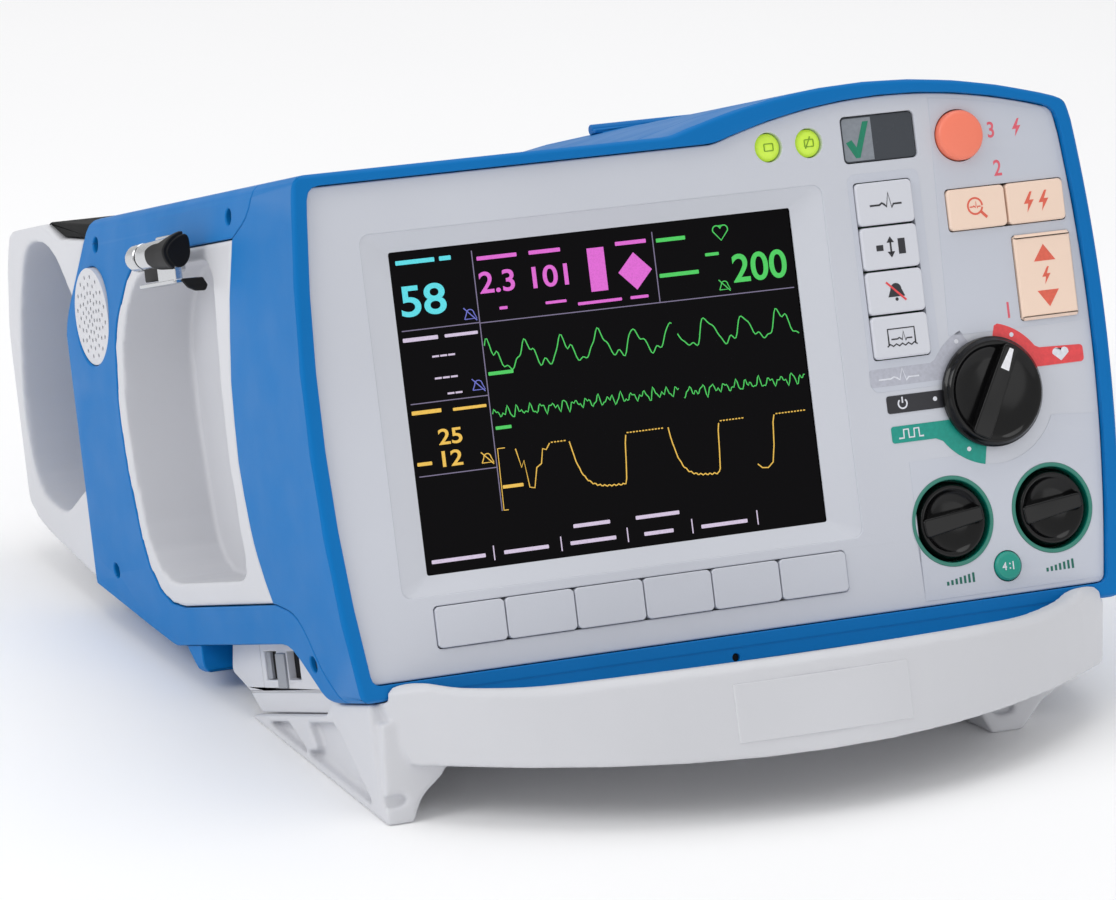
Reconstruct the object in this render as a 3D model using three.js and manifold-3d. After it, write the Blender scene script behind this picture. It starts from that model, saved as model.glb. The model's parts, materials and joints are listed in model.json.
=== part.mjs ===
// Portable hospital monitor and defibrillator, as an assembly of separate pieces.
//
// Working frame, in millimetres: x runs to the right along the control panel, y runs from
// the panel into the unit, and z runs up along the panel. Its origin lies on the panel's
// face, on the unit's centre line, level with the middle of the screen. The unit stands
// leaning back on its front legs, so at the end the whole group leans back by LEAN and its
// origin moves to the middle of the footprint, on the ground.
import * as THREE from 'three';
import { mergeVertices } from 'three/addons/utils/BufferGeometryUtils.js';
import Module from 'manifold-3d';

const wasm = await Module();
wasm.setup();

// ---------------------------------------------------------------- driving dimensions
const LEAN = THREE.MathUtils.degToRad(17);
const GROUND_AT_PANEL = -119.3; // height of the ground where it passes under the panel's face
const GAP = 0.3; // clearance between neighbours

const BULGE_HEIGHT = 2; // the sides are widest at this height
const SIDE_RADIUS = 540; // and fall away from it as a shallow arc
const SHELL = { halfWidth: 135.3, top: 74.2, bottom: -83.7, humpX: 60, humpTop: 84.6, humpRadius: 212 };
const FACE = { halfWidth: 130.2, top: 70.3, bottom: -78.6, humpX: 67, humpTop: 79.8, humpRadius: 184 };
const SHELL_FRONT = -2;
const SHELL_WALL = 3;
const REAR_FACE = 219.5;
const FACE_THICKNESS = 3;

const SCREEN = { x: -34, halfWidth: 66.9, halfHeight: 48.6, depth: 4 };
const SCREEN_FUNNEL = { halfWidth: 76.8, halfHeight: 54.5 };

const WELL_FLOOR = 110.3; // distance of a paddle well's floor from the centre line
const WELL_WALL = 2.4;
const LATCH = { x: 141.5, z: 58, pin: 2, front: 72, rear: 113, knuckle: 10, radius: 4.3 };

const KEY_FRONT = -1.2;
const KEY_BACK = 4.8;
const KEY_FLANGE = 3.4;
const BOARD_FRONT = 9.2;
const BOARD_BACK = 10.8;

const MODE_KNOB = { x: 92.3, z: -15.2, radius: 17.2, points: 62, rim: -4.4, base: -0.5 };
const SMALL_KNOB = { z: -53.5, radius: 12.4, points: 8, rim: -0.3, base: 4.9 };
const OUTPUT_KNOB = { ...SMALL_KNOB, x: 74 };
const RATE_KNOB = { ...SMALL_KNOB, x: 109 };
const KNOB_WELL = { radius: 13.6, lip: 14.1, wall: 0.8, front: -0.3, depth: 6.2 };
const SHAFT_RADIUS = 3.2;

const MAIN_BOARD = { halfWidth: 100, front: 60, rear: 180, bottom: -58, top: -56.4 };
const POWER_SUPPLY = { left: -98, right: -10, front: 66, rear: 134, bottom: -52, top: -16 };
const CAPACITOR = { x: 40, z: -26, radius: 22, front: 62, rear: 134 };
const BATTERY = { halfWidth: 52, bottom: -12, top: 24, front: 146 };
const DOOR = { left: 30, right: 95, front: 75, rear: 139.6, hinge: 141.5, hingeZ: 84.3, bead: 1.8 };
const ROLL = { y: 108, z: 54, radius: 19, left: 37, right: 89 };

const BAR = { radius: 178.8, centre: 128.8, thickness: 9 };
const REAR_FOOT = { x: 95, y: 192, radius: 9 };

const FAR = 200; // beyond every part, for cutting tools

// ---------------------------------------------------------------- materials
function paint(color, roughness, metalness = 0) {
  return new THREE.MeshStandardMaterial({ color, roughness, metalness });
}
const BLUE = () => paint(0x1566b0, 0.45);
const PALE_GREY = () => paint(0xcdd0da, 0.5);
const WHITE = () => paint(0xe6e7ea, 0.45);
const PEACH = () => paint(0xf9d6ba, 0.5);
const BLACK_GLOSS = () => paint(0x0b0b0c, 0.15);
const BLACK_RUBBER = () => paint(0x1a1a1b, 0.85);
const CHROME = () => paint(0xd8d8d8, 0.12, 1);
const BOARD_GREEN = () => paint(0x0f5a36, 0.5);
const STEEL = () => paint(0xa8abad, 0.35, 1);

// ---------------------------------------------------------------- outlines
// A closed outline through corners [a, b, reach], listed counter-clockwise. The edges give
// way to a curve over the corner's reach on both sides of it.
function outline(corners) {
  const shape = new THREE.Shape();
  corners.forEach(([a, b, reach = 0], i) => {
    const corner = new THREE.Vector2(a, b);
    const before = new THREE.Vector2(...corners.at(i - 1));
    const after = new THREE.Vector2(...corners[(i + 1) % corners.length]);
    const entry = corner.clone().add(before.sub(corner).setLength(reach));
    const exit = corner.clone().add(after.sub(corner).setLength(reach));
    if (i === 0) shape.moveTo(entry.x, entry.y);
    else shape.lineTo(entry.x, entry.y);
    if (reach > 0) shape.quadraticCurveTo(a, b, exit.x, exit.y);
  });
  shape.closePath();
  return shape;
}

// The same corners with every edge moved inwards by a distance, or outwards if negative.
function shrink(corners, distance) {
  return corners.map(([a, b, reach = 0], i) => {
    const [a0, b0] = corners.at(i - 1);
    const [a1, b1] = corners[(i + 1) % corners.length];
    const before = new THREE.Vector2(a - a0, b - b0).normalize();
    const after = new THREE.Vector2(a1 - a, b1 - b).normalize();
    const scale = distance / (1 + before.dot(after));
    return [a - scale * (before.y + after.y), b + scale * (before.x + after.x), reach];
  });
}

function rectangle(a0, a1, b0, b1, reach = 0) {
  return [[a0, b0, reach], [a1, b0, reach], [a1, b1, reach], [a0, b1, reach]];
}

function disc(a, b, radius) {
  return new THREE.Shape().absarc(a, b, radius, 0, 2 * Math.PI);
}

function steps(from, to, count) {
  return Array.from({ length: count + 1 }, (_, i) => from + ((to - from) * i) / count);
}

// The front view of the housing or of its face: arched sides, a flat top on the left and a
// hump over the controls on the right.
function frontView(size) {
  const half = (z) => size.halfWidth - (z - BULGE_HEIGHT) ** 2 / (2 * SIDE_RADIUS);
  const hump = (x) => size.humpTop - (x - size.humpX) ** 2 / (2 * size.humpRadius);
  const humpFoot = size.humpX - Math.sqrt(2 * size.humpRadius * (size.humpTop - size.top));
  const right = half(size.top) - 0.5;
  const sideLevels = steps(size.bottom, size.top - 8, 6).slice(1);
  return [
    [-half(size.bottom), size.bottom, 3],
    [half(size.bottom), size.bottom, 3],
    ...sideLevels.map((z) => [half(z), z]),
    [right, hump(right), 4],
    ...steps(right - 8, humpFoot + 6, 8).map((x) => [x, hump(x)]),
    [humpFoot, size.top, 3],
    [-half(size.top), size.top, 4],
    ...sideLevels.reverse().map((z) => [-half(z), z]),
  ];
}

// The side view of the whole housing, in y and z: a low front lobe, a raised underside, a base
// that rises behind it, and a sloping rear.
const SIDE_VIEW = [
  [-30, SHELL.bottom], [25.6, SHELL.bottom, 6], [46.4, -65, 7], [148.4, -65, 3],
  [217, -42, 5], [REAR_FACE, -25, 9], [218.4, 4, 12], [208.2, 44.5, 6], [166.6, 95], [-30, 95],
];

// The edge where the front shell and a paddle well meet bows backwards between two levels.
const WELL_EDGE = new THREE.QuadraticBezierCurve(
  new THREE.Vector2(52.3, -52.5),
  new THREE.Vector2(68.9, -20),
  new THREE.Vector2(50.3, 59),
);

// A bar across the underside.
const FOOT_BAR = [
  [126.6, -73.9, 1], [132, -73.5, 1.5], [134.5, -70], [139, -66], [139, -63.5], [126.6, -63.5],
];
const FOOT_BAR_FRONT = [[-130.5, -74.2, 4], [130.5, -74.2, 4], [130.5, -60], [-130.5, -60]];

// Everything in front of the seam between the two shells, in y and z.
const FRONT_REGION = [
  [-60, -FAR], [8, -FAR], [10, -86], [24, -74, 6], [33, -56, 8], [50, -52.6],
  ...WELL_EDGE.getPoints(10).map((point) => [point.x, point.y]),
  [33, 66, 9], [27, 92], [27, FAR], [-60, FAR],
];

// A paddle well's flange, in y and z; its front edge is the seam.
const WELL_FLANGE = [
  [40, -52.5], [156.4, -52.5, 24], [164.2, 8, 10], [161.8, 37, 7], [147, 54.5, 6], [136, 59, 5], [40, 59],
];
const WELL_MOUTH = [
  [68.5, -45, 10], [152, -45, 20], [158, 8, 12], [156, 34, 8], [145, 49.5, 7], [134, 54.5, 5], [68, 54.5, 12],
];

// ---------------------------------------------------------------- solids
function solidOf(geometry) {
  const bare = geometry.index ? geometry.toNonIndexed() : geometry.clone();
  bare.deleteAttribute('normal');
  bare.deleteAttribute('uv');
  const merged = mergeVertices(bare, 1e-4);
  return new wasm.Manifold(new wasm.Mesh({
    numProp: 3,
    vertProperties: merged.attributes.position.array,
    triVerts: Uint32Array.from(merged.index.array),
  }));
}

function asShape(section) {
  return Array.isArray(section) ? outline(section) : section;
}

function extruded(section, length, curveSegments) {
  return new THREE.ExtrudeGeometry(asShape(section), { depth: length, bevelEnabled: false, curveSegments });
}

// Prism of an outline in x and z, from one depth to another.
function prismY(section, front, back, curveSegments = 4) {
  const geometry = extruded(section, back - front, curveSegments);
  geometry.rotateX(Math.PI / 2);
  geometry.translate(0, back, 0);
  return solidOf(geometry);
}

// Prism of an outline in y and z, from left to right.
function prismX(section, left, right, curveSegments = 4) {
  const geometry = extruded(section, right - left, curveSegments);
  const turn = new THREE.Matrix4().makeBasis(
    new THREE.Vector3(0, 1, 0),
    new THREE.Vector3(0, 0, 1),
    new THREE.Vector3(1, 0, 0),
  );
  geometry.applyMatrix4(turn);
  geometry.translate(left, 0, 0);
  return solidOf(geometry);
}

// Prism of an outline in x and y, from one height to another.
function prismZ(section, low, high, curveSegments = 4) {
  const geometry = extruded(section, high - low, curveSegments);
  geometry.translate(0, 0, low);
  return solidOf(geometry);
}

function block(x0, x1, y0, y1, z0, z1) {
  const geometry = new THREE.BoxGeometry(x1 - x0, y1 - y0, z1 - z0);
  geometry.translate((x0 + x1) / 2, (y0 + y1) / 2, (z0 + z1) / 2);
  return solidOf(geometry);
}

// Turned body about an axis along y; the profile [radius, y] starts and ends on the axis.
function turnedY(profile, x, z, segments = 40) {
  const points = profile.map(([radius, y]) => new THREE.Vector2(radius, y));
  const geometry = new THREE.LatheGeometry(points, segments);
  geometry.translate(x, 0, z);
  return solidOf(geometry);
}

function union(solids) {
  return solids.reduce((joined, solid) => joined.add(solid));
}

// The right-hand copy of a piece made for the left side.
function mirrored(solid) {
  return solid.mirror([1, 0, 0]);
}

const group = new THREE.Group();

function add(name, solid, material) {
  const { vertProperties, triVerts } = solid.getMesh();
  const geometry = new THREE.BufferGeometry();
  geometry.setAttribute('position', new THREE.BufferAttribute(vertProperties, 3));
  geometry.setIndex(new THREE.BufferAttribute(triVerts, 1));
  geometry.computeVertexNormals();
  const mesh = new THREE.Mesh(geometry, material);
  mesh.name = name;
  group.add(mesh);
}

function addPair(name, leftSolid, material) {
  add(`left_${name}`, leftSolid, material());
  add(`right_${name}`, mirrored(leftSolid), material());
}

// The housing's outer form, moved inwards by a distance, from a front depth backwards.
function housingForm(inset, front = SHELL_FRONT) {
  const plan = shrink([
    [-SHELL.halfWidth, -60], [SHELL.halfWidth, -60],
    [SHELL.halfWidth, REAR_FACE, 18], [-SHELL.halfWidth, REAR_FACE, 18],
  ], inset);
  return prismY(shrink(frontView(SHELL), inset), front, REAR_FACE + 10, 3)
    .intersect(prismX(shrink(SIDE_VIEW, inset), -FAR, FAR, 3))
    .intersect(prismZ(plan, -FAR, FAR, 6));
}

const OUTER_FORM = housingForm(0);
const CLEARANCE_FORM = housingForm(-GAP, SHELL_FRONT - GAP);
const IN_FRONT_OF_SEAM = prismX(FRONT_REGION, -FAR, FAR);
const FRONT_WITH_GAP = prismX(shrink(FRONT_REGION, -GAP), -FAR, FAR);

function panelForm(inset, front, back) {
  return prismY(shrink(frontView(FACE), inset), front, back, 3);
}

// A skin that follows the housing's surface, as thick as asked.
function housingSkin(thickness) {
  return OUTER_FORM.subtract(housingForm(thickness, SHELL_FRONT + thickness));
}

// ---------------------------------------------------------------- housing
const FACE_LEDGE = 1.8; // how far the ledge behind the panel reaches under its edge
const LEDGE_THICKNESS = 2;
const SHELL_CAVITY = housingForm(SHELL_WALL, FACE_THICKNESS + GAP + LEDGE_THICKNESS);
const HOLLOW_SHELL = OUTER_FORM.subtract(SHELL_CAVITY);

function frontHousing() {
  const seat = panelForm(-GAP, SHELL_FRONT - 5, FACE_THICKNESS + GAP);
  const window = panelForm(FACE_LEDGE, 0, FACE_THICKNESS + GAP + LEDGE_THICKNESS + 1);
  return HOLLOW_SHELL.subtract(seat).subtract(window).intersect(IN_FRONT_OF_SEAM);
}

const SPEAKER = { y: 183, z: 42.9, radius: 15.8 };
const INLET = { left: 62, right: 88, bottom: -32, top: -6 };

// The hole for the lid and, along its rear edge, for its hinge bead.
function doorOpening() {
  return block(DOOR.left, DOOR.right, DOOR.front, DOOR.hinge + DOOR.bead + 2 * GAP, 60, 100);
}

function rearHousing() {
  const wellHoles = prismX(shrink(WELL_FLANGE, -GAP), -FAR, -WELL_FLOOR)
    .add(prismX(shrink(WELL_FLANGE, -GAP), WELL_FLOOR, FAR));
  const speakerHole = prismX(disc(SPEAKER.y, SPEAKER.z, SPEAKER.radius + GAP), -FAR, -120, 28);
  const batteryHole = block(-BATTERY.halfWidth - GAP, BATTERY.halfWidth + GAP, 190, FAR * 2,
    BATTERY.bottom - GAP, BATTERY.top + GAP);
  const inletHole = block(INLET.left - GAP, INLET.right + GAP, 190, FAR * 2,
    INLET.bottom - GAP, INLET.top + GAP);
  return HOLLOW_SHELL
    .add(prismX(FOOT_BAR, -FAR, FAR).intersect(prismY(FOOT_BAR_FRONT, 0, FAR, 3)))
    .subtract(FRONT_WITH_GAP)
    .subtract(wellHoles)
    .subtract(speakerHole)
    .subtract(batteryHole)
    .subtract(inletHole)
    .subtract(doorOpening());
}

// ---------------------------------------------------------------- front panel
const WHITE_KEYS = { x: 63.5, width: 19.4, height: 13.2, pitch: 13.8, top: 46.8 };
const WHITE_KEY_NAMES = ['lead_key', 'size_key', 'alarm_key', 'recorder_key'];
const PEACH_KEYS = { z: 42, width: 20.1, height: 12.8, xs: [95, 115.7] };
const PEACH_KEY_NAMES = ['analyze_key', 'charge_key'];
const ENERGY_KEY = { x: 116.2, z: 18.7, width: 20, height: 26.2 };
const SOFT_KEYS = { z: -64.2, width: 22.3, height: 12.2, pitch: 22.9, count: 6, centre: -32.9 };
const SHOCK = { x: 91.8, z: 65, radius: 7.8 };
const PACE_BUTTON = { x: 91.1, z: -69.6, radius: 4.6 };
const LAMPS = { xs: [26.7, 40.5], z: 67.6, radius: 4.6 };
const STATUS = { left: 51.6, right: 77.6, bottom: 59.5, top: 74.7 };

function rectAround(x, z, width, height, reach = 0) {
  return rectangle(x - width / 2, x + width / 2, z - height / 2, z + height / 2, reach);
}

// The sloping surround that leads from the panel's face down to the glass.
function screenFunnel() {
  const ratio = SCREEN_FUNNEL.halfWidth / SCREEN.halfWidth;
  const ratioHigh = SCREEN_FUNNEL.halfHeight / SCREEN.halfHeight;
  const geometry = new THREE.BoxGeometry(2 * SCREEN.halfWidth, SCREEN.depth + 0.02, 2 * SCREEN.halfHeight);
  geometry.translate(0, SCREEN.depth / 2, 0);
  const position = geometry.attributes.position;
  for (let i = 0; i < position.count; i += 1) {
    if (position.getY(i) < SCREEN.depth / 2) {
      position.setX(i, position.getX(i) * ratio);
      position.setZ(i, position.getZ(i) * ratioHigh);
    }
  }
  geometry.translate(SCREEN.x, 0, 0);
  return solidOf(geometry);
}

function panelOpenings() {
  const room = 2 * GAP;
  const whiteCentre = WHITE_KEYS.top - 1.5 * WHITE_KEYS.pitch;
  const peachCentre = (PEACH_KEYS.xs[0] + PEACH_KEYS.xs[1]) / 2;
  const peachSpan = PEACH_KEYS.xs[1] - PEACH_KEYS.xs[0] + PEACH_KEYS.width;
  const through = [
    rectAround(WHITE_KEYS.x, whiteCentre, WHITE_KEYS.width + room,
      3 * WHITE_KEYS.pitch + WHITE_KEYS.height + room, 1),
    rectAround(peachCentre, PEACH_KEYS.z, peachSpan + room, PEACH_KEYS.height + room, 1),
    rectAround(ENERGY_KEY.x, ENERGY_KEY.z, ENERGY_KEY.width + room, ENERGY_KEY.height + room, 1),
    rectAround(SOFT_KEYS.centre, SOFT_KEYS.z, 5 * SOFT_KEYS.pitch + SOFT_KEYS.width + room,
      SOFT_KEYS.height + room, 1),
    rectangle(STATUS.left, STATUS.right, STATUS.bottom, STATUS.top, 1.6),
    disc(SHOCK.x, SHOCK.z, SHOCK.radius + 0.5),
    disc(PACE_BUTTON.x, PACE_BUTTON.z, PACE_BUTTON.radius + 0.4),
    disc(LAMPS.xs[0], LAMPS.z, LAMPS.radius),
    disc(LAMPS.xs[1], LAMPS.z, LAMPS.radius),
    disc(MODE_KNOB.x, MODE_KNOB.z, SHAFT_RADIUS + 1),
    disc(OUTPUT_KNOB.x, OUTPUT_KNOB.z, KNOB_WELL.radius + GAP),
    disc(RATE_KNOB.x, RATE_KNOB.z, KNOB_WELL.radius + GAP),
  ];
  return union(through.map((section) => prismY(section, -5, 10, 8)));
}

function frontPanel() {
  const collar = prismY(rectAround(SCREEN.x, 0, 2 * SCREEN_FUNNEL.halfWidth + 3,
    2 * SCREEN_FUNNEL.halfHeight + 3, 4), 1, SCREEN.depth);
  return panelForm(0, 0, FACE_THICKNESS)
    .add(collar)
    .subtract(screenFunnel())
    .subtract(panelOpenings());
}

// A status window's pane, seated in its opening with a wider flange behind the panel.
function statusWindow() {
  const pane = rectangle(STATUS.left + GAP, STATUS.right - GAP, STATUS.bottom + GAP, STATUS.top - GAP, 1.4);
  return prismY(pane, 0.8, 4).add(prismY(shrink(pane, -1.4), FACE_THICKNESS + GAP, 4.8));
}

// Two indicator lenses on one light pipe behind the panel.
function statusLamps() {
  const lenses = LAMPS.xs.map((x) => prismY(disc(x, LAMPS.z, LAMPS.radius - GAP), 1, 5, 12));
  const pipe = block(LAMPS.xs[0] - 5, LAMPS.xs[1] + 5, FACE_THICKNESS + GAP, 5, LAMPS.z - 3, LAMPS.z + 3);
  return union([...lenses, pipe]);
}

// ---------------------------------------------------------------- keys, buttons and knobs
function flangedKey(x, z, width, height) {
  const cap = rectAround(x, z, width, height, 1);
  return prismY(cap, KEY_FRONT, KEY_BACK, 3)
    .add(block(x - width / 2 - 1.2, x + width / 2 + 1.2, KEY_FLANGE, KEY_BACK, z - height / 3, z + height / 3));
}

// Neighbours in a row leave no room for flanges on their sides, so theirs stand above and below.
function rowKey(x, z, width, height, front) {
  const cap = rectAround(x, z, width, height, 1);
  return prismY(cap, front, KEY_BACK, 3)
    .add(block(x - width / 3, x + width / 3, KEY_FLANGE, KEY_BACK, z - height / 2 - 1.2, z + height / 2 + 1.2));
}

function addKeys() {
  WHITE_KEY_NAMES.forEach((name, i) => {
    const z = WHITE_KEYS.top - i * WHITE_KEYS.pitch;
    add(name, flangedKey(WHITE_KEYS.x, z, WHITE_KEYS.width, WHITE_KEYS.height), WHITE());
  });
  PEACH_KEY_NAMES.forEach((name, i) => {
    add(name, rowKey(PEACH_KEYS.xs[i], PEACH_KEYS.z, PEACH_KEYS.width, PEACH_KEYS.height, KEY_FRONT), PEACH());
  });
  steps(-2.5, 2.5, 5).forEach((place, i) => {
    const x = SOFT_KEYS.centre + place * SOFT_KEYS.pitch;
    add(`softkey_${i + 1}`, rowKey(x, SOFT_KEYS.z, SOFT_KEYS.width, SOFT_KEYS.height, -0.7), PALE_GREY());
  });
}

// The energy key rocks about its middle, so its back is cut to a shallow wedge.
function energyKey() {
  const { x, z, width, height } = ENERGY_KEY;
  const half = height / 2;
  const side = [
    [KEY_FRONT, z - half, 0.6], [2.2, z - half], [KEY_BACK, z], [2.2, z + half], [KEY_FRONT, z + half, 0.6],
  ];
  return prismX(side, x - width / 2, x + width / 2, 3);
}

function roundButton({ x, z, radius }, front) {
  const flange = radius + 1.6;
  return turnedY([[0, front - 0.6], [radius - 2, front - 0.4], [radius, front + 1], [radius, KEY_FLANGE + 0.4],
    [flange, KEY_FLANGE + 0.4], [flange, 5.6], [0, 5.6]], x, z, 36);
}

// A dished knob on a shaft, with a grip ridge across the dish that points one way.
function knob({ x, z, radius, points, rim, base }) {
  const skirt = base - 2.1;
  const body = turnedY([[0, rim + 2.6], [radius * 0.5, rim + 2.3], [radius - 3.4, rim + 1.2],
    [radius - 2.2, rim], [radius - 1.2, rim + 0.4], [radius - 0.6, skirt - 0.6], [radius, skirt],
    [radius, base], [SHAFT_RADIUS, base], [SHAFT_RADIUS, 14], [0, 14]], x, z, 44);
  const length = radius - 2.3;
  const rounding = radius * 0.1;
  const ridge = [[-length, -radius * 0.22, rounding], [length, -radius * 0.17, rounding],
    [length, radius * 0.17, rounding], [-length, radius * 0.22, rounding]];
  const turn = THREE.MathUtils.degToRad(points);
  const turned = ridge.map(([a, b, reach]) => {
    const place = new THREE.Vector2(a, b).rotateAround(new THREE.Vector2(), turn);
    return [x + place.x, z + place.y, reach];
  });
  return body.add(prismY(turned, rim - 0.8, rim + 3));
}

// A cup sunk in the panel round a small knob, with a thin lip on the panel's face.
function knobWell({ x, z }) {
  const { radius, lip, wall, front, depth } = KNOB_WELL;
  const floor = depth - 1;
  const opening = SHAFT_RADIUS + 0.8;
  return turnedY([[0, front], [lip, front], [lip, -0.02], [radius, -0.02], [radius, depth], [0, depth]], x, z, 44)
    .subtract(turnedY([[0, -2], [radius - wall, -2], [radius - wall, floor], [0, floor]], x, z, 44))
    .subtract(prismY(disc(x, z, opening), 0, 20, 10));
}

// The body of a rotary switch or encoder behind the keypad board; its bushing comes forward
// through the board, bored for the knob's shaft.
function rotarySwitch({ x, z }, half, depth, bushingFront) {
  const body = block(x - half, x + half, BOARD_BACK + GAP, BOARD_BACK + depth, z - half, z + half);
  const bushing = prismY(disc(x, z, 6), bushingFront, BOARD_BACK + 1, 10);
  const bore = prismY(disc(x, z, SHAFT_RADIUS + 0.4), -5, 15.5, 10);
  return body.add(bushing).subtract(bore);
}

function keypadBoard() {
  const controls = rectangle(50, 122, -75, 60, 2);
  const strip = rectangle(-104, 60, -75, -57.6, 2);
  const shafts = [MODE_KNOB, OUTPUT_KNOB, RATE_KNOB];
  const board = prismY(controls, BOARD_FRONT, BOARD_BACK).add(prismY(strip, BOARD_FRONT, BOARD_BACK));
  return shafts.reduce((cut, { x, z }) => cut.subtract(prismY(disc(x, z, 6.6), 0, 20, 10)), board);
}

// ---------------------------------------------------------------- paddle wells and latches
function leftWell() {
  const flange = housingSkin(2.6).intersect(prismX(WELL_FLANGE, -FAR, -WELL_FLOOR));
  const tub = prismX(shrink(WELL_MOUTH, -WELL_WALL), -FAR, -WELL_FLOOR + WELL_WALL, 4).intersect(OUTER_FORM);
  const pocket = prismX(WELL_MOUTH, -FAR, -WELL_FLOOR, 4);
  return flange.add(tub).subtract(pocket).subtract(FRONT_WITH_GAP);
}

// A bowed leaf spring low on the well's front wall, where a stored paddle touches it.
function leftContactSpring() {
  const leaf = new THREE.QuadraticBezierCurve(
    new THREE.Vector2(69.1, -39),
    new THREE.Vector2(76.5, -30),
    new THREE.Vector2(69.1, -14),
  );
  const thickness = 0.8;
  const inner = leaf.getPoints(8).map((point) => [point.x, point.y]);
  const outer = inner.map(([y, z]) => [y + thickness, z]).reverse();
  return prismX([...outer, ...inner].reverse(), -128, -117);
}

// The fixed half of a latch: a plate on the housing's side, the rear knuckle and the pin.
function leftLatchBracket() {
  const { x, z, pin, front, rear, knuckle, radius } = LATCH;
  const plate = block(-137.2, -128, rear - knuckle - 6, rear, z - 6, z + 6);
  const barrel = prismY(disc(-x, z, radius), rear - knuckle, rear, 10);
  const web = block(-x, -136.5, rear - knuckle, rear, z - 3.5, z + 3.5);
  const pivot = prismY(disc(-x, z, pin), front + 6, rear - 5, 6);
  return union([plate, barrel, web, pivot]).subtract(CLEARANCE_FORM);
}

// The moving half: a sleeve on the pin, a thumb pad outside it and, hanging below, a level
// tongue whose front lip turns down over the mouth of the well.
function leftLatch() {
  const { x, z, pin, front, rear, knuckle } = LATCH;
  const sleeveRear = rear - knuckle - 2 * GAP;
  const sleeve = prismY(disc(-x, z, 3.6), front, sleeveRear, 10);
  const padSection = [
    [-146.6, 54.5, 2.5], [-142.5, 51.7, 1.5], [-139.2, 56], [-138.6, 64, 1.5], [-145, 63, 3],
  ];
  const pad = prismY(padSection, front, sleeveRear - 8, 4);
  const hanger = block(-143, -140.6, front + 2, front + 18, 48.5, z - 1.5);
  const tongue = block(-145.5, -137, front - 2, sleeveRear, 48, 49.4);
  const lip = block(-142.5, -135, front - 3, front - 1.6, 45.2, 49.4);
  const bore = prismY(disc(-x, z, pin + 0.4), front + 5.4, FAR, 8);
  return union([sleeve, pad, hanger, tongue, lip]).subtract(bore);
}

// ---------------------------------------------------------------- speaker
function speakerGrille() {
  const side = 133.9;
  const plate = prismX(disc(SPEAKER.y, SPEAKER.z, SPEAKER.radius), -side, -side + 3, 24);
  const holeAt = (radius, angle) => prismX(
    disc(SPEAKER.y + radius * Math.cos(angle), SPEAKER.z + radius * Math.sin(angle), 0.9), -FAR, 0, 4);
  const ringOf = (radius, count) => steps(0, 2 * Math.PI, count).slice(1).map((angle) => holeAt(radius, angle));
  return plate.subtract(union([holeAt(0, 0), ...ringOf(4.6, 6), ...ringOf(9.2, 12)]));
}

function speakerDriver() {
  const basket = prismX(disc(SPEAKER.y, SPEAKER.z, 14), -130.4, -124, 16);
  const magnet = prismX(disc(SPEAKER.y, SPEAKER.z, 8), -124.5, -116, 16);
  return basket.add(magnet);
}

// ---------------------------------------------------------------- carrying handle
const HANDLE_OUTER = [
  [200, -47], [219, -41.5], [264, -24.5, 11], [287, -11, 12], [286, 18, 10],
  [276.6, 52, 10], [264.5, 75.8, 5], [228, 75.8, 2], [214, 70.1], [180, 67.1],
];
const HANDLE_INNER = [
  [200, -12], [216, -12, 6], [240, -20.5, 8], [266, -12, 12], [272, 14, 14],
  [264, 47, 12], [250, 70.5, 9], [224, 70.5, 14], [206, 48, 6], [200, 40],
];
const HANDLE_HALF_WIDTH = 131.5;
const GRIP_HALF_WIDTH = 129.5;

function rearHandle() {
  const hoop = prismX(HANDLE_OUTER, -HANDLE_HALF_WIDTH, HANDLE_HALF_WIDTH)
    .subtract(prismX(HANDLE_INNER, -FAR, FAR));
  const corners = prismZ([[-HANDLE_HALF_WIDTH, 150], [HANDLE_HALF_WIDTH, 150],
    [HANDLE_HALF_WIDTH, 296, 26], [-HANDLE_HALF_WIDTH, 296, 26]], -FAR, FAR, 6);
  const window = prismY(rectangle(-88, 88, -80, 60, 14), 190, 320);
  return hoop.intersect(corners).subtract(window).subtract(CLEARANCE_FORM);
}

// The soft strip in the slanted seat between the hoop's top and the shell.
function handleGrip() {
  const section = [
    [180, 67.5], [213.6, 70.5], [227.2, 75.9], [225.6, 76.2, 1], [204, 74.4, 6], [180, 72.2],
  ];
  return prismX(section, -GRIP_HALF_WIDTH, GRIP_HALF_WIDTH).subtract(CLEARANCE_FORM);
}

// ---------------------------------------------------------------- bumper, legs and chassis
// Everything below the ground, which meets the leaning unit at a slant.
function underground() {
  const ground = (y) => GROUND_AT_PANEL + Math.tan(LEAN) * y;
  const deep = -2 * FAR;
  return prismX([[-FAR, deep], [2 * FAR, deep], [2 * FAR, ground(2 * FAR)], [-FAR, ground(-FAR)]], -FAR, FAR);
}

function arcPoints(radius, halfAngle, count) {
  return steps(-halfAngle, halfAngle, count).map((angle) => [
    radius * Math.sin(angle),
    BAR.centre - radius * Math.cos(angle),
  ]);
}

// The bar's front view: level ends under the panel's corners, a dip between them that shows
// the shell behind, and a belly that hangs lowest in the middle.
const CHASSIS_HALF_WIDTH = 123.5;
const BAR_END = 124;
const BAR_TOP = -79.2;
const BAR_DIP = -84.6;
function barFrontView() {
  const belly = (x) => -113.8 + 9.8 * (x / 112) ** 2;
  return [
    ...steps(-110, 110, 10).map((x) => [x, belly(x)]),
    [117, -103.4, 2], [BAR_END, BAR_TOP, 2], [111, BAR_TOP, 3], [103, -82, 4], [84, BAR_DIP, 10],
    [-84, BAR_DIP, 10], [-103, -82, 4], [-111, BAR_TOP, 3], [-BAR_END, BAR_TOP, 2], [-117, -103.4, 2],
  ];
}

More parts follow.
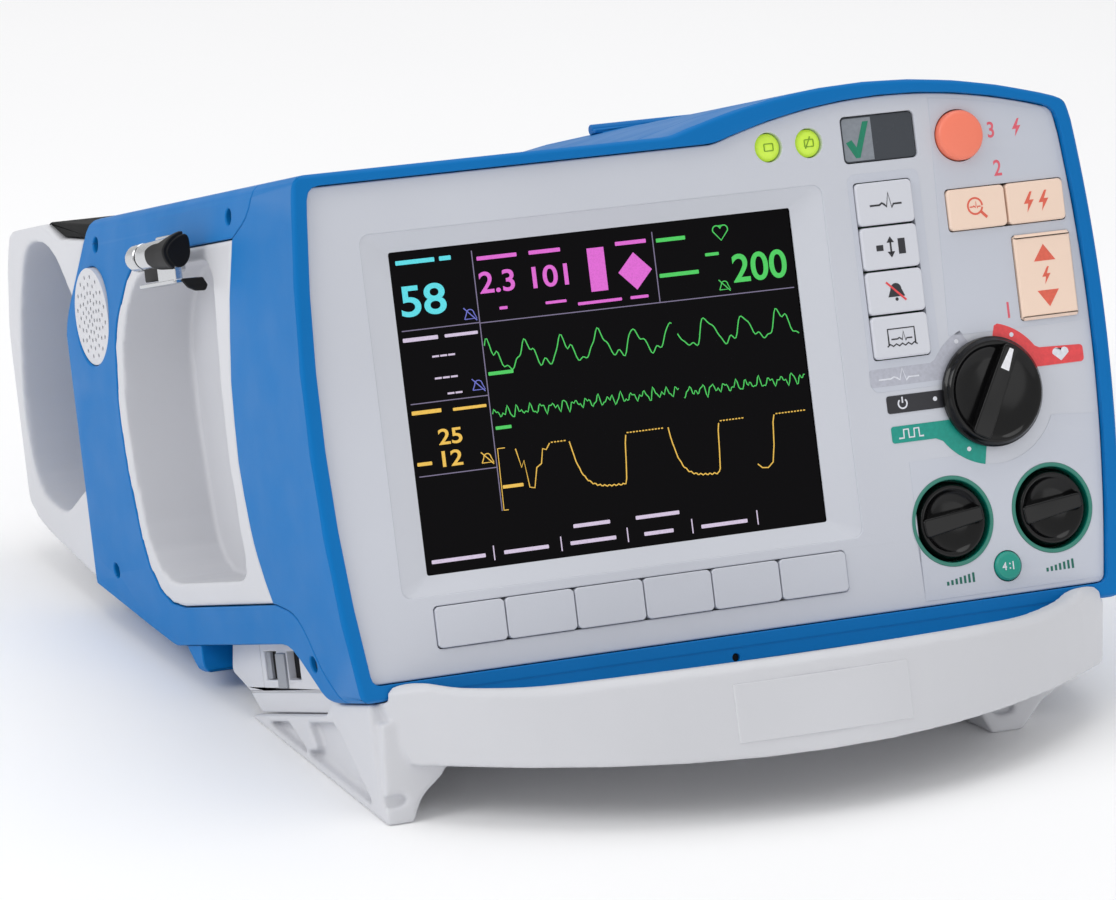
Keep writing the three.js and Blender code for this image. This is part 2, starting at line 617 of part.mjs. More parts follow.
// A runner behind each leg: its sole lies on the ground. On the left a thinner wall stands on
// it and closes the space between the bar and the shell.
const SKID = [[0, -125], [111.5, -90], [111.5, -87.6], [37, -87.3], [0, -87.3]];
const SIDE_WALL = [[0, -95], [33, -88], [37, -87.3], [26, -80], [0, -80]];

function frontBumper() {
  const halfAngle = Math.asin(BAR_END / BAR.radius) + 0.02;
  const frontEdge = arcPoints(BAR.radius, halfAngle, 22);
  const rearEdge = arcPoints(BAR.radius - BAR.thickness, halfAngle, 22);
  const plan = [...frontEdge, ...rearEdge.reverse()];
  const bar = prismZ(plan, -120, -70).intersect(prismY(barFrontView(), -80, 20));
  const deck = prismZ([...arcPoints(BAR.radius - 2, 0.66, 14), [106, 60], [-106, 60]], -92, -87.3);
  const leftLeg = prismY([[-126, -122], [-118, -122], [-114, -113, 4], [-105, -106.5, 4],
    [-100, -90], [-124, -90], [-125.6, -112, 2]], -4, 9);
  const rightLeg = prismY([[78, -122], [86, -122], [96, -112, 3], [103, -108.4, 2], [106, -90],
    [70, -90], [72, -110, 4]], -4, 9);
  const recess = prismY(rectAround(0, -99.6, 58, 17.6, 0.6), -80, BAR.centre - BAR.radius + 0.5);
  const sideWall = prismX(SIDE_WALL, -126, -GAP - CHASSIS_HALF_WIDTH);
  return union([bar, deck, leftLeg, rightLeg, sideWall, prismX(SKID, -126, -121), prismX(SKID, 79, 84)])
    .subtract(recess)
    .subtract(underground())
    .subtract(CLEARANCE_FORM);
}

// The pale tray under the shells that carries the lower sockets.
const CHASSIS = { socketFronts: [60, 79.4], socketLength: 10.6, socketDepth: 5.5 };
function lowerChassis() {
  const section = [
    [41, -87], [97.7, -87, 2], [106, -80.3, 2], [120, -74, 2], [115, -60], [20, -60], [20, -87, 2],
  ];
  const sockets = union(CHASSIS.socketFronts.map((front) => block(
    -FAR, CHASSIS.socketDepth - CHASSIS_HALF_WIDTH, front, front + CHASSIS.socketLength, -76.9, -68)));
  return prismX(section, -CHASSIS_HALF_WIDTH, CHASSIS_HALF_WIDTH)
    .subtract(CLEARANCE_FORM)
    .subtract(sockets);
}

// A rubber foot under the slanted base; its sole lies on the ground.
function leftRearFoot() {
  const { x, y, radius } = REAR_FOOT;
  const pad = prismZ(disc(-x, y, radius), -80, -45, 14);
  return pad.subtract(underground()).subtract(CLEARANCE_FORM);
}

// ---------------------------------------------------------------- insides
function mainBoard() {
  const { halfWidth, front, rear, bottom, top } = MAIN_BOARD;
  return block(-halfWidth, halfWidth, front, rear, bottom, top).intersect(housingForm(SHELL_WALL + 1));
}

function powerSupply() {
  const { left, right, front, rear, bottom, top } = POWER_SUPPLY;
  return block(left, right, front, rear, bottom, top);
}

function energyCapacitor() {
  const { x, z, radius, front, rear } = CAPACITOR;
  return prismY(disc(x, z, radius), front, rear, 14);
}

function recorderFrame() {
  const floor = block(31, 96, 72, 138, 29, 33);
  const cheeks = [31, 92.5].map((x) => block(x, x + 3.5, 84, 132, 32, 68));
  const spindle = prismX(disc(ROLL.y, ROLL.z, 3.4), 32, 95, 8);
  return union([floor, ...cheeks, spindle]);
}

function paperRoll() {
  const roll = prismX(disc(ROLL.y, ROLL.z, ROLL.radius), ROLL.left, ROLL.right, 20);
  return roll.subtract(prismX(disc(ROLL.y, ROLL.z, 3.9), 0, FAR, 10));
}

function recorderDoor() {
  const lid = housingSkin(2.4).intersect(
    block(DOOR.left + GAP, DOOR.right - GAP, DOOR.front + GAP, DOOR.rear, 60, 100),
  );
  const bead = prismX(disc(DOOR.hinge, DOOR.hingeZ, DOOR.bead), DOOR.left + 1, DOOR.right - 1, 8);
  const link = block(DOOR.left + 1, DOOR.right - 1, DOOR.rear - 2, DOOR.hinge, DOOR.hingeZ - 1.4, DOOR.hingeZ);
  return union([lid, bead, link]);
}

function batteryPack() {
  const { halfWidth, bottom, top, front } = BATTERY;
  const pack = block(-halfWidth, halfWidth, front, REAR_FACE - 1, bottom, top);
  const fingerSlot = block(-20, 20, REAR_FACE - 9, FAR * 2, top - 10, top - 2);
  return pack.intersect(OUTER_FORM).subtract(fingerSlot);
}

function batteryTray() {
  const { halfWidth, bottom, top, front } = BATTERY;
  const wall = 2;
  const room = GAP + wall;
  const outer = block(-halfWidth - room, halfWidth + room, front - room, 208, bottom - room, top + room);
  return outer
    .subtract(block(-halfWidth - GAP, halfWidth + GAP, front - GAP, FAR * 2, bottom - GAP, top + GAP))
    .intersect(housingForm(SHELL_WALL + GAP));
}

function mainsInlet() {
  const { left, right, bottom, top } = INLET;
  const shell = block(left, right, 186, FAR * 2, bottom, top).intersect(housingForm(-1, -10));
  const socket = block(left + 3, right - 3, 199, FAR * 2, bottom + 4, top - 4);
  return shell.subtract(socket);
}

// ---------------------------------------------------------------- assembly
function addHousing() {
  add('front_housing', frontHousing(), BLUE());
  add('rear_housing', rearHousing(), BLUE());
  add('front_panel', frontPanel(), PALE_GREY());
  add('front_bumper', frontBumper(), WHITE());
  add('lower_chassis', lowerChassis(), WHITE());
  addPair('rear_foot', leftRearFoot(), BLACK_RUBBER);
  add('rear_handle', rearHandle(), WHITE());
  add('handle_grip', handleGrip(), BLACK_RUBBER());
}

function addDisplay() {
  const { x, halfWidth, halfHeight, depth } = SCREEN;
  add('display_window', block(x - halfWidth - 5, x + halfWidth + 5, depth + GAP, depth + 2,
    -halfHeight - 4.5, halfHeight + 4.5), BLACK_GLOSS());
  add('display_module', block(x - halfWidth - 6, x + halfWidth + 6, depth + 2.4, 14,
    -halfHeight - 5, halfHeight + 5), STEEL());
  add('status_window', statusWindow(), BLACK_GLOSS());
  add('status_lamps', statusLamps(), paint(0xbfe230, 0.25));
}

function addControls() {
  addKeys();
  add('energy_key', energyKey(), PEACH());
  add('shock_button', roundButton(SHOCK, -2.6), paint(0xfb7050, 0.35));
  add('pace_ratio_button', roundButton(PACE_BUTTON, -0.8), paint(0x149a86, 0.45));
  add('mode_knob', knob(MODE_KNOB), BLACK_GLOSS());
  add('output_knob', knob(OUTPUT_KNOB), BLACK_GLOSS());
  add('rate_knob', knob(RATE_KNOB), BLACK_GLOSS());
  add('output_knob_well', knobWell(OUTPUT_KNOB), paint(0x149a86, 0.45));
  add('rate_knob_well', knobWell(RATE_KNOB), paint(0x149a86, 0.45));
  add('mode_switch', rotarySwitch(MODE_KNOB, 15, 13, FACE_THICKNESS + 2 * GAP), STEEL());
  add('output_encoder', rotarySwitch(OUTPUT_KNOB, 10, 10, KNOB_WELL.depth + GAP), STEEL());
  add('rate_encoder', rotarySwitch(RATE_KNOB, 10, 10, KNOB_WELL.depth + GAP), STEEL());
  add('keypad_board', keypadBoard(), BOARD_GREEN());
}

function addSides() {
  addPair('paddle_well', leftWell(), WHITE);
  addPair('contact_spring', leftContactSpring(), STEEL);
  addPair('latch_bracket', leftLatchBracket(), CHROME);
  addPair('latch', leftLatch(), BLACK_RUBBER);
  add('speaker_grille', speakerGrille(), WHITE());
  add('speaker_driver', speakerDriver(), BLACK_RUBBER());
}

function addInsides() {
  add('battery_tray', batteryTray(), PALE_GREY());
  add('battery_pack', batteryPack(), paint(0x8d9096, 0.6));
  add('mains_inlet', mainsInlet(), BLACK_RUBBER());
  add('main_board', mainBoard(), BOARD_GREEN());
  add('power_supply', powerSupply(), STEEL());
  add('energy_capacitor', energyCapacitor(), paint(0x2f4a86, 0.4));
  add('recorder_frame', recorderFrame(), PALE_GREY());
  add('paper_roll', paperRoll(), paint(0xf6f4ee, 0.9));
  add('recorder_door', recorderDoor(), BLUE());
}

addHousing();
addDisplay();
addControls();
addSides();
addInsides();

// The lean, then the move to the middle of the footprint.
group.rotation.x = -LEAN;
group.updateMatrixWorld(true);
const extent = new THREE.Box3().setFromObject(group, true);
const middle = extent.getCenter(new THREE.Vector3());
group.position.set(-middle.x, -middle.y, -extent.min.z);

export default group;
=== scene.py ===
import json
import math

import bmesh
import bpy
from mathutils import Matrix, Vector

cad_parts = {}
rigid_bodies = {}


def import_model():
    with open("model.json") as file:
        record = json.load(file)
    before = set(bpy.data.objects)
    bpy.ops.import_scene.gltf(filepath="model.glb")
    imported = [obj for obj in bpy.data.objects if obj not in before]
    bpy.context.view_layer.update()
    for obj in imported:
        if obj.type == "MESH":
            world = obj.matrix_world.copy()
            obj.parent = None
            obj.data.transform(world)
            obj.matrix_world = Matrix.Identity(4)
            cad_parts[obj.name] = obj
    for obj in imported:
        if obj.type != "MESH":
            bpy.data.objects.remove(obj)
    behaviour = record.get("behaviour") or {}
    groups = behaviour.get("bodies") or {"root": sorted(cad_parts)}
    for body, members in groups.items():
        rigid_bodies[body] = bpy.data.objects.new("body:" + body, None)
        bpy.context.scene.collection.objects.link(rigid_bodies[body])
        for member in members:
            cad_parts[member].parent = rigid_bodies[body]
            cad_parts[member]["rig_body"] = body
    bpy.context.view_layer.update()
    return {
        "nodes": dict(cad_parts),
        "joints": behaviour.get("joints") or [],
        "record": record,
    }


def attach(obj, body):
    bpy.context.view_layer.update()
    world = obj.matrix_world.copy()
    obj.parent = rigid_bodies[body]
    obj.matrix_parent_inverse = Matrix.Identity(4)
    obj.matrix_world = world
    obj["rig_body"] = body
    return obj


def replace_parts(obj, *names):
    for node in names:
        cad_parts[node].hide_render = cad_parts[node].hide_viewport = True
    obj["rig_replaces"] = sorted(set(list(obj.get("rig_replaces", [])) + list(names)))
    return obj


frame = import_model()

# ---------------------------------------------------------------- the panel's frame
# Pieces are laid out in panel millimetres: x runs right, y into the unit, z up along the
# panel. The mode knob's joint gives the lean and the place of that frame.
MM = 0.001
MODE_KNOB_CENTRE = Vector((92.3, 0.0, -15.2))


def joint(name):
    return next(j for j in frame["joints"] if j["name"] == name)


def panel_matrix():
    outwards = Vector(joint("mode_turn")["axis"])
    lean = math.atan2(outwards.z, -outwards.y)
    turn = Matrix.Rotation(-lean, 4, "X") @ Matrix.Scale(MM, 4)
    place = Vector(joint("mode_turn")["pos_m"]) - turn @ MODE_KNOB_CENTRE
    return Matrix.Translation(place) @ turn


PANEL = panel_matrix()
TO_PANEL = PANEL.inverted()


def span(node):
    """Lowest and highest corner of a CAD node, in panel millimetres."""
    points = [TO_PANEL @ v.co for v in frame["nodes"][node].data.vertices]
    low = Vector([min(p[i] for p in points) for i in range(3)])
    high = Vector([max(p[i] for p in points) for i in range(3)])
    return low, high


def middle(node):
    low, high = span(node)
    return (low + high) / 2


# ---------------------------------------------------------------- materials
def srgb(red, green, blue):
    """Linear colour from 0-255 display values."""
    def linear(value):
        value /= 255
        return value / 12.92 if value <= 0.04045 else ((value + 0.055) / 1.055) ** 2.4
    return (linear(red), linear(green), linear(blue), 1.0)


class Shader:
    """A material under construction: a principled surface and the nodes that feed it."""

    def __init__(self, name):
        self.material = bpy.data.materials.new(name)
        self.material.use_nodes = True
        self.tree = self.material.node_tree
        self.surface = self.tree.nodes["Principled BSDF"]
        self.place = self.node("ShaderNodeTexCoord").outputs["Object"]

    def node(self, kind, **settings):
        made = self.tree.nodes.new(kind)
        for key, value in settings.items():
            setattr(made, key, value)
        return made

    def link(self, output, target):
        self.tree.links.new(output, target)

    def noise(self, scale, detail=2.0, stretch=None):
        texture = self.node("ShaderNodeTexNoise")
        texture.inputs["Scale"].default_value = scale
        texture.inputs["Detail"].default_value = detail
        source = self.place
        if stretch:
            mapping = self.node("ShaderNodeMapping")
            mapping.inputs["Scale"].default_value = stretch
            self.link(self.place, mapping.inputs["Vector"])
            source = mapping.outputs["Vector"]
        self.link(source, texture.inputs["Vector"])
        return texture.outputs["Fac"]

    def ranged(self, value, low, high, to_low, to_high):
        ramp = self.node("ShaderNodeMapRange", clamp=True)
        ends = {"From Min": low, "From Max": high, "To Min": to_low, "To Max": to_high}
        for key, number in ends.items():
            ramp.inputs[key].default_value = number
        self.link(value, ramp.inputs["Value"])
        return ramp.outputs["Result"]

    def mix(self, factor, first, second):
        blend = self.node("ShaderNodeMix", data_type="RGBA")
        self.link(factor, blend.inputs["Factor"])
        for value, key in ((first, 6), (second, 7)):
            if isinstance(value, tuple):
                blend.inputs[key].default_value = value
            else:
                self.link(value, blend.inputs[key])
        return blend.outputs[2]

    def bump(self, height, strength, depth):
        bump = self.node("ShaderNodeBump")
        bump.inputs["Strength"].default_value = strength
        bump.inputs["Distance"].default_value = depth
        self.link(height, bump.inputs["Height"])
        self.link(bump.outputs["Normal"], self.surface.inputs["Normal"])

    def set(self, **values):
        for key, value in values.items():
            self.surface.inputs[key.replace("_", " ")].default_value = value


def shade(colour, factor):
    return tuple(min(1.0, c * factor) for c in colour[:3]) + (1.0,)


def moulded(name, colour, roughness, grain=0.05, wear=0.2, sheen=0.5, grain_scale=1600):
    """Moulded plastic: faint colour drift, a fine spark-eroded grain and edges rubbed paler."""
    s = Shader(name)
    drift = s.ranged(s.noise(9.0), 0.3, 0.7, 0.0, 1.0)
    body = s.mix(drift, shade(colour, 0.96), shade(colour, 1.04))
    rubbed = s.node("ShaderNodeNewGeometry").outputs["Pointiness"]
    paler = tuple(c + (1 - c) * 0.35 for c in colour[:3]) + (1.0,)
    s.link(s.mix(s.ranged(rubbed, 0.52, 0.62, 0.0, wear), body, paler), s.surface.inputs["Base Color"])
    fine = s.noise(grain_scale, 3.0)
    polish = s.ranged(s.noise(60.0), 0.3, 0.7, roughness - 0.05, roughness + 0.05)
    s.link(polish, s.surface.inputs["Roughness"])
    s.bump(fine, grain, 0.0002)
    s.set(Specular_IOR_Level=sheen)
    return s.material


def glowing(material, colour, strength):
    """A moulded lens lit from behind."""
    surface = material.node_tree.nodes["Principled BSDF"]
    surface.inputs["Emission Color"].default_value = colour
    surface.inputs["Emission Strength"].default_value = strength
    return material


def brushed(name, colour, roughness):
    """Metal with fine drawn lines and a little tarnish."""
    s = Shader(name)
    lines = s.noise(260.0, 4.0, (1, 1, 30))
    s.link(s.mix(s.noise(25.0), shade(colour, 0.82), colour), s.surface.inputs["Base Color"])
    s.link(s.ranged(lines, 0.3, 0.7, roughness - 0.06, roughness + 0.1), s.surface.inputs["Roughness"])
    s.bump(lines, 0.05, 0.0001)
    s.set(Metallic=1.0)
    return s.material


def ink(name, colour):
    """Screen-printed ink: even, with a trace of uneven coverage."""
    s = Shader(name)
    cover = s.ranged(s.noise(900.0, 4.0), 0.35, 0.65, 0.0, 1.0)
    s.link(s.mix(cover, shade(colour, 0.93), shade(colour, 1.05)), s.surface.inputs["Base Color"])
    s.bump(s.noise(1500.0), 0.04, 0.0001)
    s.set(Roughness=0.5)
    return s.material


def lit(name, colour, strength):
    """A lit display element: small square cells with dim gaps between them."""
    s = Shader(name)
    cells = s.noise(2600.0, 0.0)
    glow = s.mix(s.ranged(cells, 0.3, 0.6, 0.0, 1.0), shade(colour, 0.85), colour)
    s.link(glow, s.surface.inputs["Emission Color"])
    s.set(Base_Color=shade(colour, 0.2), Emission_Strength=strength, Roughness=0.4)
    return s.material


def glass(name, colour, roughness=0.08, sheen=0.04):
    """Dark window: smooth gloss with faint smears."""
    s = Shader(name)
    smear = s.noise(35.0, 4.0)
    s.link(s.ranged(smear, 0.35, 0.7, roughness, roughness + 0.06), s.surface.inputs["Roughness"])
    s.link(s.mix(smear, colour, shade(colour, 1.2)), s.surface.inputs["Base Color"])
    s.set(Specular_IOR_Level=sheen)
    return s.material


def board(name):
    """Circuit board: green lacquer over faint tracks."""
    s = Shader(name)
    tracks = s.noise(420.0, 0.0, (1, 6, 1))
    lacquer = s.mix(s.ranged(tracks, 0.45, 0.55, 0, 1), srgb(12, 70, 40), srgb(30, 104, 60))
    s.link(lacquer, s.surface.inputs["Base Color"])
    s.bump(tracks, 0.2, 0.0001)
    s.set(Roughness=0.35)
    return s.material


BLUE = moulded("housing_blue", srgb(0, 112, 184), 0.45, 0.10, 0.08, 0.14)
PANEL_GREY = moulded("panel_grey", srgb(203, 206, 215), 0.5, 0.10, 0.3)
WHITE = moulded("white_plastic", srgb(207, 208, 213), 0.45, 0.08, 0.3)
KEY_WHITE = moulded("key_grey", srgb(214, 216, 224), 0.5, 0.06, 0.3)
PEACH = moulded("peach_keys", srgb(248, 220, 200), 0.5, 0.06, 0.25)
ORANGE = moulded("shock_orange", srgb(252, 130, 102), 0.4, 0.04, 0.2)
TEAL = moulded("pacer_teal", srgb(0, 150, 132), 0.45, 0.04, 0.2)
WELL_TEAL = moulded("well_teal", srgb(0, 122, 104), 0.4, 0.05, 0.25)
KNOB_BLACK = moulded("knob_black", srgb(9, 9, 10), 0.14, 0.02, 0.04, 0.3)
GLASS = glass("display_glass", srgb(5, 4, 6))
LAMP = glowing(moulded("lamp_green", srgb(196, 228, 70), 0.2, 0.02, 0.1), srgb(190, 232, 60), 0.22)
RUBBER = moulded("rubber_black", srgb(20, 20, 21), 0.8, 0.3, 0.04, 0.22, grain_scale=900)
LATCH_BLACK = moulded("latch_black", srgb(11, 11, 14), 0.45, 0.05, 0.03, 0.12)
CHROME = brushed("latch_chrome", srgb(205, 207, 210), 0.16)
STEEL = brushed("spring_steel", srgb(158, 158, 156), 0.26)
MODULE = brushed("module_steel", srgb(165, 168, 172), 0.38)
BOARD = board("board_green")
TRAY = moulded("tray_grey", srgb(150, 153, 160), 0.6, 0.1, 0.1)
BATTERY = moulded("battery_grey", srgb(128, 131, 138), 0.55, 0.12, 0.15)
CAPACITOR = moulded("capacitor_blue", srgb(38, 62, 120), 0.4, 0.05, 0.1)
PAPER = moulded("paper", srgb(244, 241, 232), 0.85, 0.1, 0.0)

SLOT_MATERIALS = {
    "housing_blue": BLUE, "panel_grey": PANEL_GREY, "white_plastic": WHITE, "peach_keys": PEACH,
    "shock_orange": ORANGE, "pacer_teal": TEAL, "knob_black": KNOB_BLACK, "display_glass": GLASS,
    "lamp_green": LAMP, "rubber_black": RUBBER, "latch_black": LATCH_BLACK, "latch_chrome": CHROME,
    "spring_steel": STEEL, "module_steel": MODULE, "board_green": BOARD, "tray_grey": TRAY,
    "battery_grey": BATTERY, "capacitor_blue": CAPACITOR, "paper": PAPER,
}
NODE_SLOTS = {part["node"]: part["material_slot"] for part in frame["record"]["subparts"]}


# ---------------------------------------------------------------- building pieces
BODY_OF = {node: obj["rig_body"] for node, obj in frame["nodes"].items()}
SHARP_ANGLE = math.radians(28)
MERGE_DISTANCE = 0.003


def finished_mesh(name, bm):
    mesh = bpy.data.meshes.new(name)
    bm.to_mesh(mesh)
    bm.free()
    return mesh


def scene_object(name, data):
    obj = bpy.data.objects.new(name, data)
    bpy.context.scene.collection.objects.link(obj)
    return obj


def evaluated(obj):
    """The mesh of an object with its modifiers applied."""
    bm = bmesh.new()
    bm.from_object(obj, bpy.context.evaluated_depsgraph_get())
    return bm


def place(name, bm, material, body, smooth_angle=32):
    """Makes an object from a mesh in panel millimetres, and lets it ride on a body."""
    bmesh.ops.transform(bm, matrix=PANEL, verts=bm.verts)
    mesh = finished_mesh(name, bm)
    mesh.materials.append(material)
    mesh.polygons.foreach_set("use_smooth", [True] * len(mesh.polygons))
    mesh.set_sharp_from_angle(angle=math.radians(smooth_angle))
    obj = scene_object(name, mesh)
    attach(obj, body)
    return obj


def stand_for(obj, node):
    """Lets an object take a CAD node's place."""
    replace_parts(obj, node)


def weighted_normals(obj):
    modifier = obj.modifiers.new("even_shading", "WEIGHTED_NORMAL")
    modifier.keep_sharp = True
    modifier.weight = 60


def combined(bm, operation, part):
    """A mesh less a part's closed shells, or cut down to them."""
    stock = scene_object("stock", finished_mesh("stock", bm))
    tool = scene_object("tool", finished_mesh("tool", part.bm))
    cut = stock.modifiers.new("cut", "BOOLEAN")
    cut.operation, cut.solver, cut.object = operation, "EXACT", tool
    bm = evaluated(stock)
    bpy.data.objects.remove(stock)
    bpy.data.objects.remove(tool)
    bmesh.ops.remove_doubles(bm, verts=bm.verts, dist=MERGE_DISTANCE)
    return bm


def cad_copy(node, cutters=None, form=None):
    """A CAD node's mesh in panel millimetres, within a form and less any cutting shells."""
    bm = bmesh.new()
    bm.from_mesh(frame["nodes"][node].data)
    bmesh.ops.transform(bm, matrix=TO_PANEL, verts=bm.verts)
    bmesh.ops.remove_doubles(bm, verts=bm.verts, dist=MERGE_DISTANCE)
    if form:
        bm = combined(bm, "INTERSECT", form)
    if cutters:
        bm = combined(bm, "DIFFERENCE", cutters)
    return bm


def refine(node, radius=0.4, name=None, cutters=None, form=None):
    """A finer copy of a CAD node: flat faces joined up and edges rounded."""
    bm = cad_copy(node, cutters, form)
    bmesh.ops.dissolve_limit(bm, angle_limit=math.radians(0.6), verts=bm.verts, edges=bm.edges)
    weight = bm.edges.layers.float.new("bevel_weight_edge")
    for edge in bm.edges:
        if len(edge.link_faces) == 2 and edge.calc_face_angle(0) >= SHARP_ANGLE:
            edge[weight] = 1
    obj = place(name or node + "_finished", bm, SLOT_MATERIALS[NODE_SLOTS[node]], BODY_OF[node], 30)
    bevel = obj.modifiers.new("rounding", "BEVEL")
    bevel.limit_method = "WEIGHT"
    bevel.width = radius * MM
    bevel.segments = 3
    bevel.use_clamp_overlap = False
    weighted_normals(obj)
    stand_for(obj, node)


def soften(node, voxel, rounds, keep, cutters=None):
    """A moulded form of a CAD node: remeshed finely and smoothed, so that every edge is round."""
    form = scene_object("form", finished_mesh("form", cad_copy(node, cutters)))
    remesh = form.modifiers.new("remesh", "REMESH")
    remesh.mode, remesh.voxel_size = "VOXEL", voxel
    smooth = form.modifiers.new("smooth", "SMOOTH")
    smooth.factor, smooth.iterations = 0.5, rounds
    thin = form.modifiers.new("thin", "DECIMATE")
    thin.ratio = keep
    bm = evaluated(form)
    bpy.data.objects.remove(form)
    stand_for(place(node + "_moulding", bm, SLOT_MATERIALS[NODE_SLOTS[node]], BODY_OF[node], 60), node)


# ---------------------------------------------------------------- outlines
def rectangle(left, right, low, high, radius=0.0):
    return rounded([(left, low, radius), (right, low, radius), (right, high, radius), (left, high, radius)])


def rounded(corners, steps=6):
    """Closed outline through corners (a, b, radius), each turned by a true arc."""
    points = []
    for i, corner in enumerate(corners):
        here = Vector(corner[:2])
        radius = corner[2] if len(corner) > 2 else 0.0
        before = (Vector(corners[i - 1][:2]) - here).normalized()
        after = (Vector(corners[(i + 1) % len(corners)][:2]) - here).normalized()
        half = math.acos(max(-1.0, min(1.0, before.dot(after)))) / 2
        if radius <= 0 or half > math.radians(89):
            points.append(tuple(here))
            continue
        centre = here + (before + after).normalized() * (radius / math.sin(half))
        start = here + before * (radius / math.tan(half)) - centre
        end = here + after * (radius / math.tan(half)) - centre
        turn = math.atan2(start.cross(end), start.dot(end))
        for k in range(steps + 1):
            c, s = math.cos(turn * k / steps), math.sin(turn * k / steps)
            points.append((centre.x + start.x * c - start.y * s, centre.y + start.x * s + start.y * c))
    return points


def circle(a, b, radius, count=48):
    angles = [2 * math.pi * k / count for k in range(count)]
    return [(a + radius * math.cos(t), b + radius * math.sin(t)) for t in angles]


def arc(a, b, radius, start, end, count=16):
    """Points on an arc, in degrees from start to end."""
    angles = [math.radians(start + (end - start) * k / count) for k in range(count + 1)]
    return [(a + radius * math.cos(t), b + radius * math.sin(t)) for t in angles]


def inset(outline, distance):
    """The outline moved inwards by a distance; it runs counter-clockwise."""
    moved = []
    for i, here in enumerate(outline):
        here = Vector(here)
        before = (here - Vector(outline[i - 1])).normalized()
        after = (Vector(outline[(i + 1) % len(outline)]) - here).normalized()
        scale = distance / max(0.2, 1 + before.dot(after))
        moved.append((here.x - scale * (before.y + after.y), here.y + scale * (before.x + after.x)))
    return moved


def stroke(points, width):
    """Outline of a line drawn with a round-nosed pen of constant width."""
    left, right = [], []
    for i, here in enumerate(points):
        here = Vector(here)
        ahead = (Vector(points[min(i + 1, len(points) - 1)]) - here).normalized()
        behind = (here - Vector(points[max(i - 1, 0)])).normalized()
        along = (ahead + behind).normalized()
        normal = Vector((-along.y, along.x)) * width / 2
        left.append(tuple(here + normal))
        right.append(tuple(here - normal))
    return right + left[::-1]


BULGE_HEIGHT, BULGE_RADIUS = 2.0, 540.0


def half_width(size, z):
    """Half the width of the housing or its face at a height: its sides bulge gently."""
    return size["half"] - (z - BULGE_HEIGHT) ** 2 / (2 * BULGE_RADIUS)


def front_view(size):
    """The outline of the housing's front or of its face: arched sides and a hump on the right."""
    def half(z):
        return half_width(size, z)

    def hump(x):
        return size["hump_top"] - (x - size["hump_x"]) ** 2 / (2 * size["hump_radius"])

    low, top = size["bottom"], size["top"]
    count = 24
    foot = size["hump_x"] - math.sqrt(2 * size["hump_radius"] * (size["hump_top"] - top))
    right = half(top) - 0.5
    levels = [low + (top - 8 - low) * k / count for k in range(1, count + 1)]
    crest = [right - 8 + (foot + 6 - right + 8) * k / count for k in range(count + 1)]
    corners = [(-half(low), low, 2.6), (half(low), low, 2.6)]
    corners += [(half(z), z) for z in levels] + [(right, hump(right), 4)]
    corners += [(x, hump(x)) for x in crest] + [(foot, top, 14), (-half(top), top, 3)]
    corners += [(-half(z), z) for z in reversed(levels)]
    return rounded(corners, 5)


# ---------------------------------------------------------------- solids
FACING = {
    "front": Matrix(((1, 0, 0, 0), (0, 0, -1, 0), (0, 1, 0, 0), (0, 0, 0, 1))),
    "side": Matrix(((0, 0, 1, 0), (1, 0, 0, 0), (0, 1, 0, 0), (0, 0, 0, 1))),
    "top": Matrix.Identity(4),
}


def area(outline):
    return sum(p[0] * q[1] - q[0] * p[1] for p, q in zip(outline[-1:] + outline[:-1], outline)) / 2


